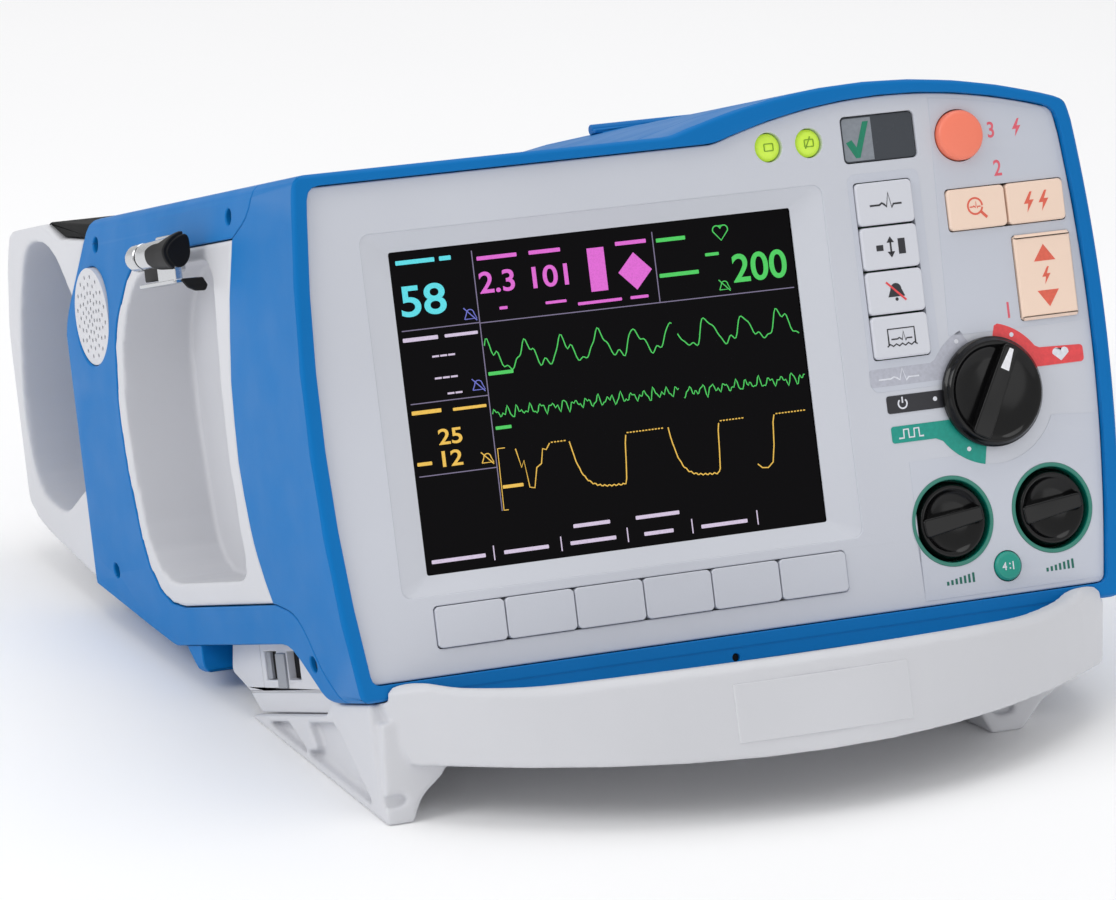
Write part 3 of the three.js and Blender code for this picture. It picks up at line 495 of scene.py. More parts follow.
class Part:
    """Closed shells gathered into one piece, in panel millimetres."""

    def __init__(self):
        self.bm = bmesh.new()

    def take(self, mesh, matrix):
        mesh.transform(matrix)
        self.bm.from_mesh(mesh)
        bpy.data.meshes.remove(mesh)

    def put(self, mesh, low, high, facing):
        """Adds a mesh drawn flat about zero, turned to its facing, between two levels."""
        centre = (low + high) / 2
        shift = {"front": (0, centre, 0), "side": (centre, 0, 0), "top": (0, 0, centre)}[facing]
        self.take(mesh, Matrix.Translation(shift) @ FACING[facing])
        return self

    def bands(self, rings):
        """Faces between neighbouring rings of vertices."""
        faces = []
        for a, b in zip(rings, rings[1:]):
            for i in range(len(a)):
                j = (i + 1) % len(a)
                faces.append(self.bm.faces.new((a[i], a[j], b[j], b[i])))
        return faces

    def plate(self, loops, low, high, bevel=0.0, facing="front", turns=3):
        """A plate with rounded edges. The first outline is its rim and the others are holes."""
        curve = bpy.data.curves.new("outline", "CURVE")
        curve.dimensions = "2D"
        curve.fill_mode = "BOTH"
        for i, loop in enumerate(loops):
            forward = (area(loop) > 0) != (i > 0)
            spline = curve.splines.new("POLY")
            spline.points.add(len(loop) - 1)
            for point, (a, b) in zip(spline.points, loop if forward else loop[::-1]):
                point.co = (a, b, 0, 1)
            spline.use_cyclic_u = True
        curve.extrude = (high - low) / 2 - bevel
        curve.bevel_depth = bevel
        curve.bevel_resolution = turns
        curve.offset = -bevel
        holder = bpy.data.objects.new("outline", curve)
        mesh = bpy.data.meshes.new_from_object(holder)
        bpy.data.objects.remove(holder)
        bpy.data.curves.remove(curve)
        clean = bmesh.new()
        clean.from_mesh(mesh)
        bmesh.ops.remove_doubles(clean, verts=clean.verts, dist=0.0005)
        bmesh.ops.recalc_face_normals(clean, faces=clean.faces)
        clean.to_mesh(mesh)
        clean.free()
        return self.put(mesh, low, high, facing)

    def prism(self, outline, low, high):
        """A plain prism, for thin printed marks."""
        if area(outline) < 0:
            outline = outline[::-1]
        half = (high - low) / 2
        made = bmesh.new()
        rings = [[made.verts.new((a, b, side * half)) for a, b in outline] for side in (-1, 1)]
        made.faces.new(rings[1])
        made.faces.new(rings[0][::-1])
        count = len(outline)
        for i in range(count):
            j = (i + 1) % count
            made.faces.new((rings[0][i], rings[0][j], rings[1][j], rings[1][i]))
        return self.put(finished_mesh("prism", made), low, high, "front")

    def numeral(self, text, left, base, height, low, high, stretch):
        """Digits standing on a base line, of a given height."""
        curve = bpy.data.curves.new("digits", "FONT")
        curve.body = text
        curve.offset = 0.014
        curve.extrude = (high - low) / 2
        holder = bpy.data.objects.new("digits", curve)
        mesh = bpy.data.meshes.new_from_object(holder)
        bpy.data.objects.remove(holder)
        bpy.data.curves.remove(curve)
        points = [v.co for v in mesh.vertices]
        bottom, top = min(p.y for p in points), max(p.y for p in points)
        first = min(p.x for p in points)
        scale = height / (top - bottom)
        fit = Matrix.Diagonal((scale * stretch, scale, 1, 1)) @ Matrix.Translation((-first, -bottom, 0))
        shift = Matrix.Translation((left, (low + high) / 2, base))
        self.take(mesh, shift @ FACING["front"] @ fit)
        bmesh.ops.remove_doubles(self.bm, verts=self.bm.verts, dist=0.0005)
        return self

    def loft(self, rings, closed=False):
        """Skin over rings of points in space; closed joins the last ring to the first."""
        made = [[self.bm.verts.new(p) for p in ring] for ring in rings]
        faces = self.bands(made + made[:1] if closed else made)
        if not closed:
            faces.append(self.bm.faces.new(made[0][::-1]))
            faces.append(self.bm.faces.new(made[-1]))
        bmesh.ops.recalc_face_normals(self.bm, faces=faces)
        return self

    def turned(self, profile, x, z, count=96):
        """A turned body about an axis into the panel; the profile (radius, y) ends on the axis."""
        made = [[self.bm.verts.new((a, y, b)) for a, b in circle(x, z, radius, count)]
                for radius, y in profile if radius > 0]
        poles = [self.bm.verts.new((x, profile[0][1], z)), self.bm.verts.new((x, profile[-1][1], z))]
        faces = self.bands(made)
        for pole, ring in zip(poles, (made[0], made[-1])):
            for i in range(count):
                faces.append(self.bm.faces.new((pole, ring[i], ring[(i + 1) % count])))
        bmesh.ops.recalc_face_normals(self.bm, faces=faces)
        return self

    def done(self, name, material, body, replaces=None, slot=None, even=True):
        obj = place(name, self.bm, material, body)
        if even:
            weighted_normals(obj)
        if replaces:
            stand_for(obj, replaces)


# ---------------------------------------------------------------- front panel
FACE = {"half": 130.2, "top": 70.3, "bottom": -78.6, "hump_x": 67, "hump_top": 79.8, "hump_radius": 184}
FACE_OUTLINE = front_view(FACE)
FACE_THICKNESS = 3.0
KEY_GAP = 0.3
SCREEN_X = -34.0
GLASS_HALF = (66.9, 48.6)
RECESS_HALF = (76.8, 54.5)
GLASS_FRONT = span("display_window")[0].y
MODE = middle("mode_knob")
OUTPUT = middle("output_knob")
RATE = middle("rate_knob")
SHOCK = middle("shock_button")
PACE = middle("pace_ratio_button")
WHITE_KEYS = ["lead_key", "size_key", "alarm_key", "recorder_key"]
PEACH_KEYS = ["analyze_key", "charge_key"]
SOFT_KEYS = [f"softkey_{i}" for i in range(1, 7)]
FLANGE = 1.2
WELL_RADIUS = 13.6
LAMP_XS, LAMP_Z = (26.7, 40.5), 67.6


def cap_box(node):
    """Left, right, low and high of a key's cap, without the flange behind the panel."""
    low, high = span(node)
    beside = FLANGE if node in WHITE_KEYS else 0.0
    above = FLANGE if node in PEACH_KEYS + SOFT_KEYS else 0.0
    return low.x + beside, high.x - beside, low.z + above, high.z - above


def opening(nodes):
    """One rounded opening round a group of keys."""
    boxes = [cap_box(node) for node in nodes]
    left, low = min(b[0] for b in boxes), min(b[2] for b in boxes)
    right, high = max(b[1] for b in boxes), max(b[3] for b in boxes)
    return rectangle(left - KEY_GAP, right + KEY_GAP, low - KEY_GAP, high + KEY_GAP, 1.2)


def rounded_box(centre_x, half_x, half_z, radius):
    return rectangle(centre_x - half_x, centre_x + half_x, -half_z, half_z, radius)


SHOCK_HOLE = circle(SHOCK.x, SHOCK.z, 8.2)
PACE_HOLE = circle(PACE.x, PACE.z, 4.9, 32)


def build_panel():
    low, high = span("status_window")
    rim = 1.4
    holes = [
        rounded_box(SCREEN_X, RECESS_HALF[0], RECESS_HALF[1], 3.0),
        opening(WHITE_KEYS), opening(PEACH_KEYS), opening(["energy_key"]), opening(SOFT_KEYS),
        rectangle(low.x + rim, high.x - rim, low.z + rim, high.z - rim, 1.6),
        SHOCK_HOLE, PACE_HOLE,
        circle(LAMP_XS[0], LAMP_Z, 4.6, 32), circle(LAMP_XS[1], LAMP_Z, 4.6, 32),
        circle(MODE.x, MODE.z, 4.2, 32),
        circle(OUTPUT.x, OUTPUT.z, WELL_RADIUS + 0.3, 72),
        circle(RATE.x, RATE.z, WELL_RADIUS + 0.3, 72),
    ]
    part = Part().plate([FACE_OUTLINE] + holes, 0, FACE_THICKNESS, 0.45)
    bezel = [(RECESS_HALF, 0, 0, 3.2, 0.42), (GLASS_HALF, 0, 0, 0.8, 3.6), (GLASS_HALF, 0, 0, 0.7, 4.0),
             (GLASS_HALF, 2, 2, 0.7, 4.0), (GLASS_HALF, 11, 7.4, 3.2, 2.2), (RECESS_HALF, 0.8, 0.8, 3.4, 1.0)]
    rings = []
    for half, wider, taller, radius, y in bezel:
        outline = rounded_box(SCREEN_X, half[0] + wider, half[1] + taller, radius)
        rings.append([(x, y, z) for x, z in outline])
    part.loft(rings, closed=True)
    part.done("front_panel_face", PANEL_GREY, "housing", "front_panel")


def build_films():
    """Thin label films round the white keys, the treatment controls and the pacing knobs."""
    film = moulded("control_film", srgb(198, 202, 213), 0.42, 0.05, 0.1)
    strip = [rectangle(51.8, 76.6, -11.2, 56.4, 2.5), opening(WHITE_KEYS)]
    Part().plate(strip, -0.1, 0.02, 0.03).done("key_film", film, "housing", slot="panel_grey")
    edge = [(x - 1.6, z) for x, z in FACE_OUTLINE if x > 122]
    crest = [(x, z - 1.6) for x, z in FACE_OUTLINE if 80.3 < x < 122 and z > 60]
    shape = [(80.3, 3.5)] + [p for p in edge if p[1] > 3] + crest
    shape.insert(1, (shape[1][0], 3.5))
    holes = [opening(PEACH_KEYS), opening(["energy_key"]), SHOCK_HOLE]
    part = Part().plate([shape] + holes, -0.12, 0.02, 0.03)
    part.done("treatment_film", film, "housing", slot="panel_grey")
    base = min(z for x, z in FACE_OUTLINE) + 1.6
    right = [p for p in edge if base + 1 < p[1] < -24.5]
    ring = arc(MODE.x, MODE.z, 22.4, -25, -125, 24)
    shape = [(61.5, base), (right[0][0], base)] + right + ring + [(61.5, ring[-1][1])]
    holes = [PACE_HOLE] + [circle(spot.x, spot.z, 14.2, 72) for spot in (OUTPUT, RATE)]
    Part().plate([shape] + holes, -0.12, 0.02, 0.03).done("pacing_film", film, "housing", slot="panel_grey")


def build_keys():
    for node in WHITE_KEYS + PEACH_KEYS + SOFT_KEYS:
        left, right, low, high = cap_box(node)
        nearest, farthest = span(node)
        front, back = nearest.y, farthest.y
        grow, edge = (0.1, 0.35) if node in SOFT_KEYS else (0.0, 0.7)
        cap = rectangle(left - grow, right + grow, low - grow, high + grow, 1.5)
        part = Part().plate([cap], front, back - 0.2, edge, turns=4)
        beside = 0.0 if node in WHITE_KEYS else 3.0
        above = 0.0 if beside else 2.2
        flange = rectangle(nearest.x + beside, farthest.x - beside, nearest.z + above,
                           farthest.z - above, 0.5)
        part.plate([flange], back - 1.4, back, 0.2)
        material = PEACH if node in PEACH_KEYS else PANEL_GREY if node in SOFT_KEYS else KEY_WHITE
        part.done(node + "_cap", material, BODY_OF[node], node)
    refine("energy_key", 0.8, name="energy_key_cap")


def build_buttons():
    for node, spot, crown in (("shock_button", SHOCK, 0.5), ("pace_ratio_button", PACE, 0.2)):
        front = span(node)[0].y
        radius = 7.8 if node == "shock_button" else 4.6
        profile = [(0, front), (radius * 0.5, front + crown * 0.12), (radius - 1.6, front + crown * 0.5)]
        profile += [(radius - 0.7, front + crown), (radius - 0.2, front + crown + 0.5)]
        profile += [(radius, front + crown + 1.1), (radius, 3.8), (radius + 1.6, 3.8)]
        profile += [(radius + 1.6, 5.6), (0, 5.6)]
        material = ORANGE if node == "shock_button" else TEAL
        Part().turned(profile, spot.x, spot.z).done(node + "_cap", material, BODY_OF[node], node)


def build_knob(node, spot, radius, pointing, rim, base, wide):
    """A dished knob with a gripping bar that stands a little above its rim."""
    turn = math.radians(pointing)
    skirt = base - 2.1
    profile = [(0, rim + 2.6), (radius * 0.5, rim + 2.4), (radius - 4.2, rim + 1.7),
               (radius - 3.0, rim + 0.8), (radius - 2.4, rim + 0.15), (radius - 1.9, rim),
               (radius - 1.4, rim + 0.15), (radius - 1.0, rim + 0.7), (radius - 0.7, skirt - 0.5),
               (radius - 0.4, skirt - 0.1), (radius, skirt + 0.3), (radius, base - 0.4),
               (radius - 0.3, base), (3.2, base), (3.2, 13.6), (2.8, 14.0), (0, 14.0)]
    part = Part().turned(profile, spot.x, spot.z)
    reach = radius - 2.0

    def spun(points):
        c, s = math.cos(turn), math.sin(turn)
        return [(spot.x + a * c - b * s, spot.z + a * s + b * c) for a, b in points]

    bar = rounded([(-reach, -wide * 1.15, 1.4), (reach, -wide * 0.9, 1.2), (reach, wide * 0.9, 1.2),
                   (-reach, wide * 1.15, 1.4)])
    part.plate([spun(bar)], rim - 0.75, rim + 3.0, 0.6)
    part.done(node + "_grip", KNOB_BLACK, BODY_OF[node], node)
    return spun


def build_knob_well(node, spot):
    """A cup sunk in the panel, with a thin lip on the panel's face."""
    profile = [(14.1, -0.02), (14.1, -0.2), (13.95, -0.3), (13.1, -0.3), (12.9, -0.15), (12.8, 0.2),
               (12.8, 5.2), (4.0, 5.2), (4.0, 6.2), (WELL_RADIUS, 6.2), (WELL_RADIUS, -0.02)]
    rings = [[(x, y, z) for x, z in circle(spot.x, spot.z, radius, 96)] for radius, y in profile]
    Part().loft(rings, closed=True).done(node + "_cup", WELL_TEAL, "housing", node)


POINTER = ink("pointer_white", srgb(240, 240, 245))
# Skirt radius, direction of the bar in degrees, depths of the rim and of the base, bar half width.
MODE_KNOB_FORM = {"radius": 17.2, "pointing": 62, "rim": -4.4, "base": -0.5, "wide": 2.9}
PACING_KNOB_FORM = {"radius": 12.4, "pointing": 8, "rim": -0.3, "base": 4.9, "wide": 2.6}


def build_controls():
    build_keys()
    build_buttons()
    spun = build_knob("mode_knob", MODE, **MODE_KNOB_FORM)
    wedge = spun([(7.2, -1.5), (14.2, -0.7), (14.2, 0.7), (7.2, 1.5)])
    mark = Part().plate([wedge], -5.2, -5.0, 0.03)
    mark.done("mode_knob_pointer", POINTER, BODY_OF["mode_knob"], slot="knob_black")
    for node, spot in (("output_knob", OUTPUT), ("rate_knob", RATE)):
        build_knob(node, spot, **PACING_KNOB_FORM)
        build_knob_well(node + "_well", spot)


# ---------------------------------------------------------------- printed marks
INK_FRONT, INK_BACK = -0.16, -0.02
RED_INK = ink("ink_red", srgb(232, 72, 76))
BLACK_INK = ink("ink_black", srgb(38, 38, 44))
TEAL_INK = ink("ink_teal", srgb(0, 152, 136))
DARK_TEAL_INK = ink("ink_dark_teal", srgb(0, 104, 88))
PALE_INK = ink("ink_pale", srgb(226, 228, 236))
MONITOR_INK = ink("ink_monitor", srgb(184, 186, 198))
PINK_INK = ink("ink_pink", srgb(226, 96, 112))
KEY_RED_INK = ink("ink_key_red", srgb(226, 100, 78))


def around_mode(angle, radius):
    turn = math.radians(angle)
    return (MODE.x + radius * math.cos(turn), MODE.z + radius * math.sin(turn))


def printed(name, material, outlines, front=INK_FRONT, back=INK_BACK):
    """Marks printed on the panel."""
    part = Part()
    for outline in outlines:
        part.prism(outline, front, back)
    part.done(name, material, "housing", slot="panel_grey")


def build_mode_legend():
    """The mode dial's legend: coloured tabs with a dot at each of its four positions."""
    inner = 15.5
    red = rounded([(108.0, -9.3), (126.4, -9.3, 1.2), (126.4, -4.0, 1.2), (111.2, -3.4)]
                  + arc(MODE.x, MODE.z, 21.4, 36, 76, 10) + [around_mode(79, 20.6), around_mode(80, inner)]
                  + arc(MODE.x, MODE.z, inner, 74, 26, 10))
    printed("legend_defib", RED_INK, [red])
    black = rounded([(78, -18.2), (78, -12.7), (56.2, -12.7, 0.9), (56.2, -18.2, 0.9)])
    printed("legend_off", BLACK_INK, [black])
    teal = rounded([(56.6, -22.2, 0.9), (56.6, -27.4, 0.9), (71.6, -27.4)]
                   + arc(MODE.x, MODE.z, 22.6, 216, 258, 12) + [around_mode(258, inner)]
                   + arc(MODE.x, MODE.z, inner, 250, 206, 10) + [(77.0, -22.2)])
    printed("legend_pacer", TEAL_INK, [teal])
    grey = rounded([(51.5, -9.6, 0.9), (76.6, -9.6)] + arc(MODE.x, MODE.z, inner, 158, 108, 10)
                   + arc(MODE.x, MODE.z, 21.6, 112, 146, 10) + [(72.8, -4.0), (51.5, -4.0, 0.9)])
    printed("legend_monitor", MONITOR_INK, [grey], INK_FRONT + 0.04)
    dots = [circle(*around_mode(angle, 19.4), 0.72, 20) for angle in (60, 120, 180, 240)]
    heart = [(118.4, -8.3), (115.5, -5.9)] + arc(117.0, -5.6, 1.45, 190, 10, 8)
    heart += arc(119.8, -5.6, 1.45, 170, -10, 8) + [(121.3, -5.9)]
    power = [stroke(arc(61.6, -15.4, 1.5, 130, 410, 14), 0.5), stroke([(61.6, -15.2), (61.6, -13.3)], 0.5)]
    waves = [pacing_wave(59.0, -26.0, 8.6, 2.6), beat_wave(54.4, -7.4, 14.0, 3.0, 0.5)]
    printed("legend_dots", PALE_INK, dots + [heart] + power + waves, INK_FRONT - 0.06, INK_FRONT + 0.03)


def beat_wave(left, base, width, height, pen):
    """One heartbeat as a line: flat, a sharp spike and flat again."""
    steps = ((0, 0), (0.3, 0), (0.38, 0.16), (0.46, 0), (0.52, -0.2), (0.6, 1), (0.68, -0.3),
             (0.74, 0), (1, 0))
    return stroke([(left + a * width, base + b * height) for a, b in steps], pen)


def pacing_wave(left, base, width, height):
    """Square pacing pulses as a line."""
    steps = ((0, 0), (0.2, 0), (0.21, 1), (0.4, 1), (0.41, 0), (0.62, 0), (0.63, 1), (0.82, 1),
             (0.83, 0), (1, 0))
    return stroke([(left + a * width, base + b * height) for a, b in steps], 0.55)


def bolt(x, z, size):
    """A lightning bolt."""
    steps = ((0.1, 0.5), (-0.28, -0.08), (-0.04, -0.08), (-0.14, -0.5), (0.28, 0.1), (0.04, 0.1), (0.22, 0.5))
    return [(x + a * size, z + b * size) for a, b in steps]


def triangle(x, z, half, height):
    return [(x - half, z), (x + half, z), (x, z + height)]


def build_panel_numerals():
    marks = Part()
    for digit, left, base in (("3", 102.2, 63.2), ("2", 102.8, 51.2), ("1", 101.6, 6.8)):
        marks.numeral(digit, left, base, 5.0, INK_FRONT, INK_BACK, 0.85)
    marks.prism(bolt(112.4, 65.6, 5.6), INK_FRONT, INK_BACK)
    marks.done("step_numerals", PINK_INK, "housing", slot="panel_grey")


def build_knob_scales():
    """Seven bars of rising height under each pacing knob."""
    ticks = []
    for spot in (OUTPUT, RATE):
        for k in range(7):
            left, foot = spot.x - 4.6 + 1.5 * k, spot.z - 19.6
            ticks.append(rectangle(left, left + 0.8, foot, foot + 1.2 + 0.3 * k))
    printed("pacing_knob_scales", DARK_TEAL_INK, ticks)


def key_mark(node, outlines, material, name=None, raised=0.05):
    """Marks printed on a key, drawn about its centre; they ride on it."""
    front, centre = span(node)[0].y, middle(node)
    part = Part()
    for outline in outlines:
        part.prism([(centre.x + a, centre.z + b) for a, b in outline], front - raised, front - raised + 0.11)
    part.done(name or node + "_mark", material, BODY_OF[node], slot=NODE_SLOTS[node])


def build_key_marks():
    key_mark("lead_key", [beat_wave(-5.5, -0.6, 11, 3.6, 0.6)], BLACK_INK)
    down = [(-1.3, -1.4), (0, -3.3), (1.3, -1.4)]
    arrow = [stroke([(0, -2.2), (0, 2.2)], 0.6), triangle(0, 1.4, 1.3, 1.9), down]
    bars = [rectangle(-5, -2.6, -0.9, 0.9), rectangle(2.6, 5, -2.4, 2.4)]
    key_mark("size_key", arrow + bars, BLACK_INK)
    bell = [(-2.9, -1.6), (2.9, -1.6)] + arc(0, 0.7, 1.9, 0, 180, 10)
    key_mark("alarm_key", [bell, circle(0, -2.4, 0.55, 16)], BLACK_INK)
    slash = [(-3.4, 2.9), (-2.9, 3.3), (3.4, -2.7), (2.9, -3.1)]
    key_mark("alarm_key", [slash], RED_INK, "alarm_key_slash", 0.09)
    paper = stroke([(-4.6, -2.4), (-4.6, 2.4), (4.6, 2.4), (4.6, -2.4)], 0.5)
    tear = stroke([(-5.2 + 1.04 * k, -2.3 if k % 2 else -3.0) for k in range(11)], 0.45)
    key_mark("recorder_key", [paper, beat_wave(-3.6, -0.8, 7.2, 2.2, 0.45), tear], BLACK_INK)
    lens = [stroke(arc(-0.8, 0.6, 2.5, 0, 350, 28), 0.6), stroke([(1.1, -1.3), (3.0, -3.2)], 0.9)]
    key_mark("analyze_key", lens + [beat_wave(-2.7, 0.4, 3.8, 1.6, 0.4)], KEY_RED_INK)
    key_mark("charge_key", [bolt(-2.6, 0, 6.4), bolt(2.6, 0, 6.4)], KEY_RED_INK)
    down = [(-3.8, -4.6), (0, -9.8), (3.8, -4.6)]
    key_mark("energy_key", [triangle(0, 4.6, 3.8, 5.2), down, bolt(0, 0, 5.4)], KEY_RED_INK)
    front = span("pace_ratio_button")[0].y
    part = Part()
    for digit, left in (("4", -2.5), ("1", 1.1)):
        part.numeral(digit, PACE.x + left, PACE.z - 1.2, 2.5, front - 0.06, front + 0.1, 0.9)
    for level in (-0.7, 0.7):
        part.prism(circle(PACE.x + 0.15, PACE.z + level, 0.26, 12), front - 0.06, front + 0.1)
    part.done("pace_ratio_button_mark", PALE_INK, BODY_OF["pace_ratio_button"], slot="pacer_teal")


def build_status_window():
    low, high = span("status_window")
    rim = 1.7
    left, right, base, top = low.x + rim, high.x - rim, low.z + rim, high.z - rim
    pane = Part().plate([rectangle(left, right, base, top, 1.5)], low.y, 4, 0.15)
    pane.plate([rectangle(low.x, high.x, low.z, high.z, 1.5)], 3.4, high.y, 0.15)
    pane.done("status_window_pane", STATUS_GLASS, "housing", "status_window")
    split = left + 0.42 * (right - left)
    card = Part().prism(rounded([(left + 0.4, base + 0.4, 1.1), (split, base + 0.4), (split, top - 0.4),
                                 (left + 0.4, top - 0.4, 1.1)]), low.y - 0.05, low.y + 0.06)
    card.done("status_card", STATUS_GREY, "housing", slot="display_glass")
    tick = [(left + 1.2, base + 6.2), (left + 3.2, base + 7.0), (left + 4.7, base + 4.6),
            (left + 7.6, top - 1.6), (left + 9.6, top - 1.6), (left + 5.6, base + 1.3),
            (left + 4.1, base + 1.3)]
    mark = Part().prism(tick, low.y - 0.1, low.y + 0.02)
    mark.done("status_tick", TICK_INK, "housing", slot="display_glass")


STATUS_GLASS = glass("status_glass", srgb(62, 66, 72), 0.25, 0.25)
STATUS_GREY = ink("status_grey", srgb(134, 140, 148))
TICK_INK = ink("tick_green", srgb(0, 128, 96))


def build_lamps():
    """Two domed lenses on their light pipe, each with a small moulded mark."""
    low, high = span("status_lamps")
    part, marks = Part(), Part()
    for x in LAMP_XS:
        profile = [(0, 0.1), (1.6, 0.2), (3.0, 0.55), (3.9, 1.1), (4.3, 1.7), (4.3, 4.6), (0, 4.6)]
        part.turned(profile, x, LAMP_Z, 48)
        frame_line = rectangle(x - 1.5, x + 1.5, LAMP_Z - 1.1, LAMP_Z + 1.1, 0.3)
        marks.prism(stroke(frame_line + [frame_line[0]], 0.3), 0.0, 0.5)
    marks.prism(stroke([(39.2, 66.0), (41.0, 69.6)], 0.3), -0.02, 0.5)
    part.plate([rectangle(low.x, high.x, 64.6, 70.6, 0.6)], 3.4, high.y, 0.3)
    part.done("status_lamp_lenses", LAMP, "housing", "status_lamps")
    marks.done("status_lamp_marks", LAMP_MARK, "housing", slot="lamp_green")


LAMP_MARK = ink("lamp_mark_green", srgb(120, 160, 20))


# ---------------------------------------------------------------- display
TRACE_FRONT = GLASS_FRONT - 0.1
SCREEN_INK = {
    "cyan": lit("lit_cyan", srgb(80, 205, 215), 1.0),
    "magenta": lit("lit_magenta", srgb(208, 92, 196), 1.0),
    "green": lit("lit_green", srgb(62, 190, 82), 1.0),
    "white": lit("lit_white", srgb(205, 190, 215), 0.9),
    "amber": lit("lit_amber", srgb(222, 178, 70), 1.0),
    "line": lit("lit_line", srgb(128, 118, 150), 0.7),
    "blue": lit("lit_blue", srgb(105, 110, 200), 0.9),
}
SCREEN_GROUPS = {colour: Part() for colour in SCREEN_INK}


def lit_shape(colour, outline):
    SCREEN_GROUPS[colour].prism(outline, TRACE_FRONT, GLASS_FRONT + 0.05)


def lit_line(colour, points, width):
    lit_shape(colour, stroke(points, width))


def lit_digits(colour, text, left, base, height, stretch):
    SCREEN_GROUPS[colour].numeral(text, left, base, height, TRACE_FRONT, GLASS_FRONT + 0.05, stretch)


def lit_bell(colour, x, z, size):
    """A small bell, crossed out."""
    half = size / 2
    left, right = (x - half, z - half * 0.7), (x + half, z - half * 0.7)
    dome = [left] + arc(x, z + half * 0.1, half * 0.62, 180, 0, 8) + [right, left]
    lit_line(colour, dome, 0.28)
    lit_line(colour, [(x - half, z + half), (x + half, z - half)], 0.3)


def lit_heart(colour, x, z, size):
    lobes = arc(x - size * 0.24, z + size * 0.15, size * 0.25, 200, 20, 8)
    lobes += arc(x + size * 0.24, z + size * 0.15, size * 0.25, 160, -20, 8)
    lit_line(colour, lobes + [(x, z - size * 0.48), lobes[0]], 0.35)


def wave(left, right, count, shape):
    return [(left + (right - left) * k / count, shape(k / count)) for k in range(count + 1)]


def heart_trace(share, base):
    """A coarse rhythm: eight and a half beats of a rounded, slightly irregular rise and fall."""
    beat = share * 8.6 + 0.35
    phase = beat % 1.0
    swell = math.exp(-((phase - 0.42) / 0.16) ** 2) + 0.45 * math.exp(-((phase - 0.66) / 0.1) ** 2)
    ragged = 0.09 * math.sin(share * 211) + 0.07 * math.sin(share * 137 + 1)
    return base + 8.2 * (min(swell, 1.0) * (0.92 + 0.08 * math.sin(beat * 2.3)) + ragged)


def filtered_trace(share, base):
    ripple = math.sin(share * 172) + 0.8 * math.sin(share * 263 + 0.7) * math.sin(share * 21)
    return base + 1.1 * ripple + 0.6 * math.sin(share * 430)


def breath(x, floor, top, start, end):
    """One trough of the breathing curve: a quick fall, a round floor and a steep rise."""
    share = (x - start) / (end - start)
    fall = math.exp(-share * 7.0)
    rise = 1 / (1 + math.exp(-(share - 0.955) * 75))
    return floor + (top - floor) * min(1.0, fall + rise) + 0.25 * math.sin(x * 4.1)


# The wordless captions on the display, drawn as bars: left, right, base line and height.
SCREEN_BARS = {
    "cyan": [(-98.6, -85.97, 44.1, 2.2), (-84.39, -80.6, 44.1, 2.2)],
    "magenta": [(-72.3, -59.2, 42.9, 2.0), (-55.2, -44.8, 42.9, 2.0), (-66.8, -64.2, 27.6, 1.5),
                (-51.6, -44.7, 27.6, 1.4), (-41.0, -26.4, 26.1, 1.5), (-23.5, -17.5, 26.1, 1.5),
                (-26.5, -16.2, 42.6, 2.0)],
    "green": [(-12.8, -3.0, 42.2, 2.0), (-13.0, 0.2, 31.4, 2.0), (3.0, 7.6, 36.4, 1.6),
              (-73.0, -64.8, 8.2, 1.8), (-72.8, -67.6, -8.2, 1.7)],
    "white": [(-99.2, -87.8, 21.0, 2.0), (-85.6, -74.8, 21.2, 1.6), (-98.6, -81.0, -45.7, 1.9),
              (-74.9, -60.2, -45.6, 1.9), (-51.4, -39.2, -40.6, 1.9), (-53.0, -37.8, -45.6, 1.9),
              (-30.6, -16.0, -40.6, 1.9), (-28.4, -18.6, -45.8, 1.9), (-9.2, 6.4, -45.9, 1.9)],
    "amber": [(-99.2, -89.6, -0.9, 2.0), (-85.8, -74.9, -0.9, 1.5), (-99.4, -94.6, -16.2, 1.8),
              (-72.8, -66.0, -26.0, 1.7)],
}
# The readings: text, left, base line, height and how far the digits are stretched.
SCREEN_READINGS = [
    ("cyan", "58", -98.4, 28.8, 9.4, 1.2), ("magenta", "2.3", -72.4, 33.2, 6.6, 1.12),
    ("magenta", "101", -54.9, 33.0, 6.6, 1.15), ("green", "200", 11.6, 27.6, 8.8, 1.04),
    ("amber", "25", -91.6, -10.3, 4.8, 1.25), ("amber", "12", -91.2, -16.9, 4.8, 1.25),
]
SCREEN_BELLS = [("blue", -76.5, 27.6, 4.0), ("green", 8.3, 27.3, 3.6), ("blue", -76.6, 6.2, 4.0),
                ("amber", -76.6, -15.9, 3.8)]


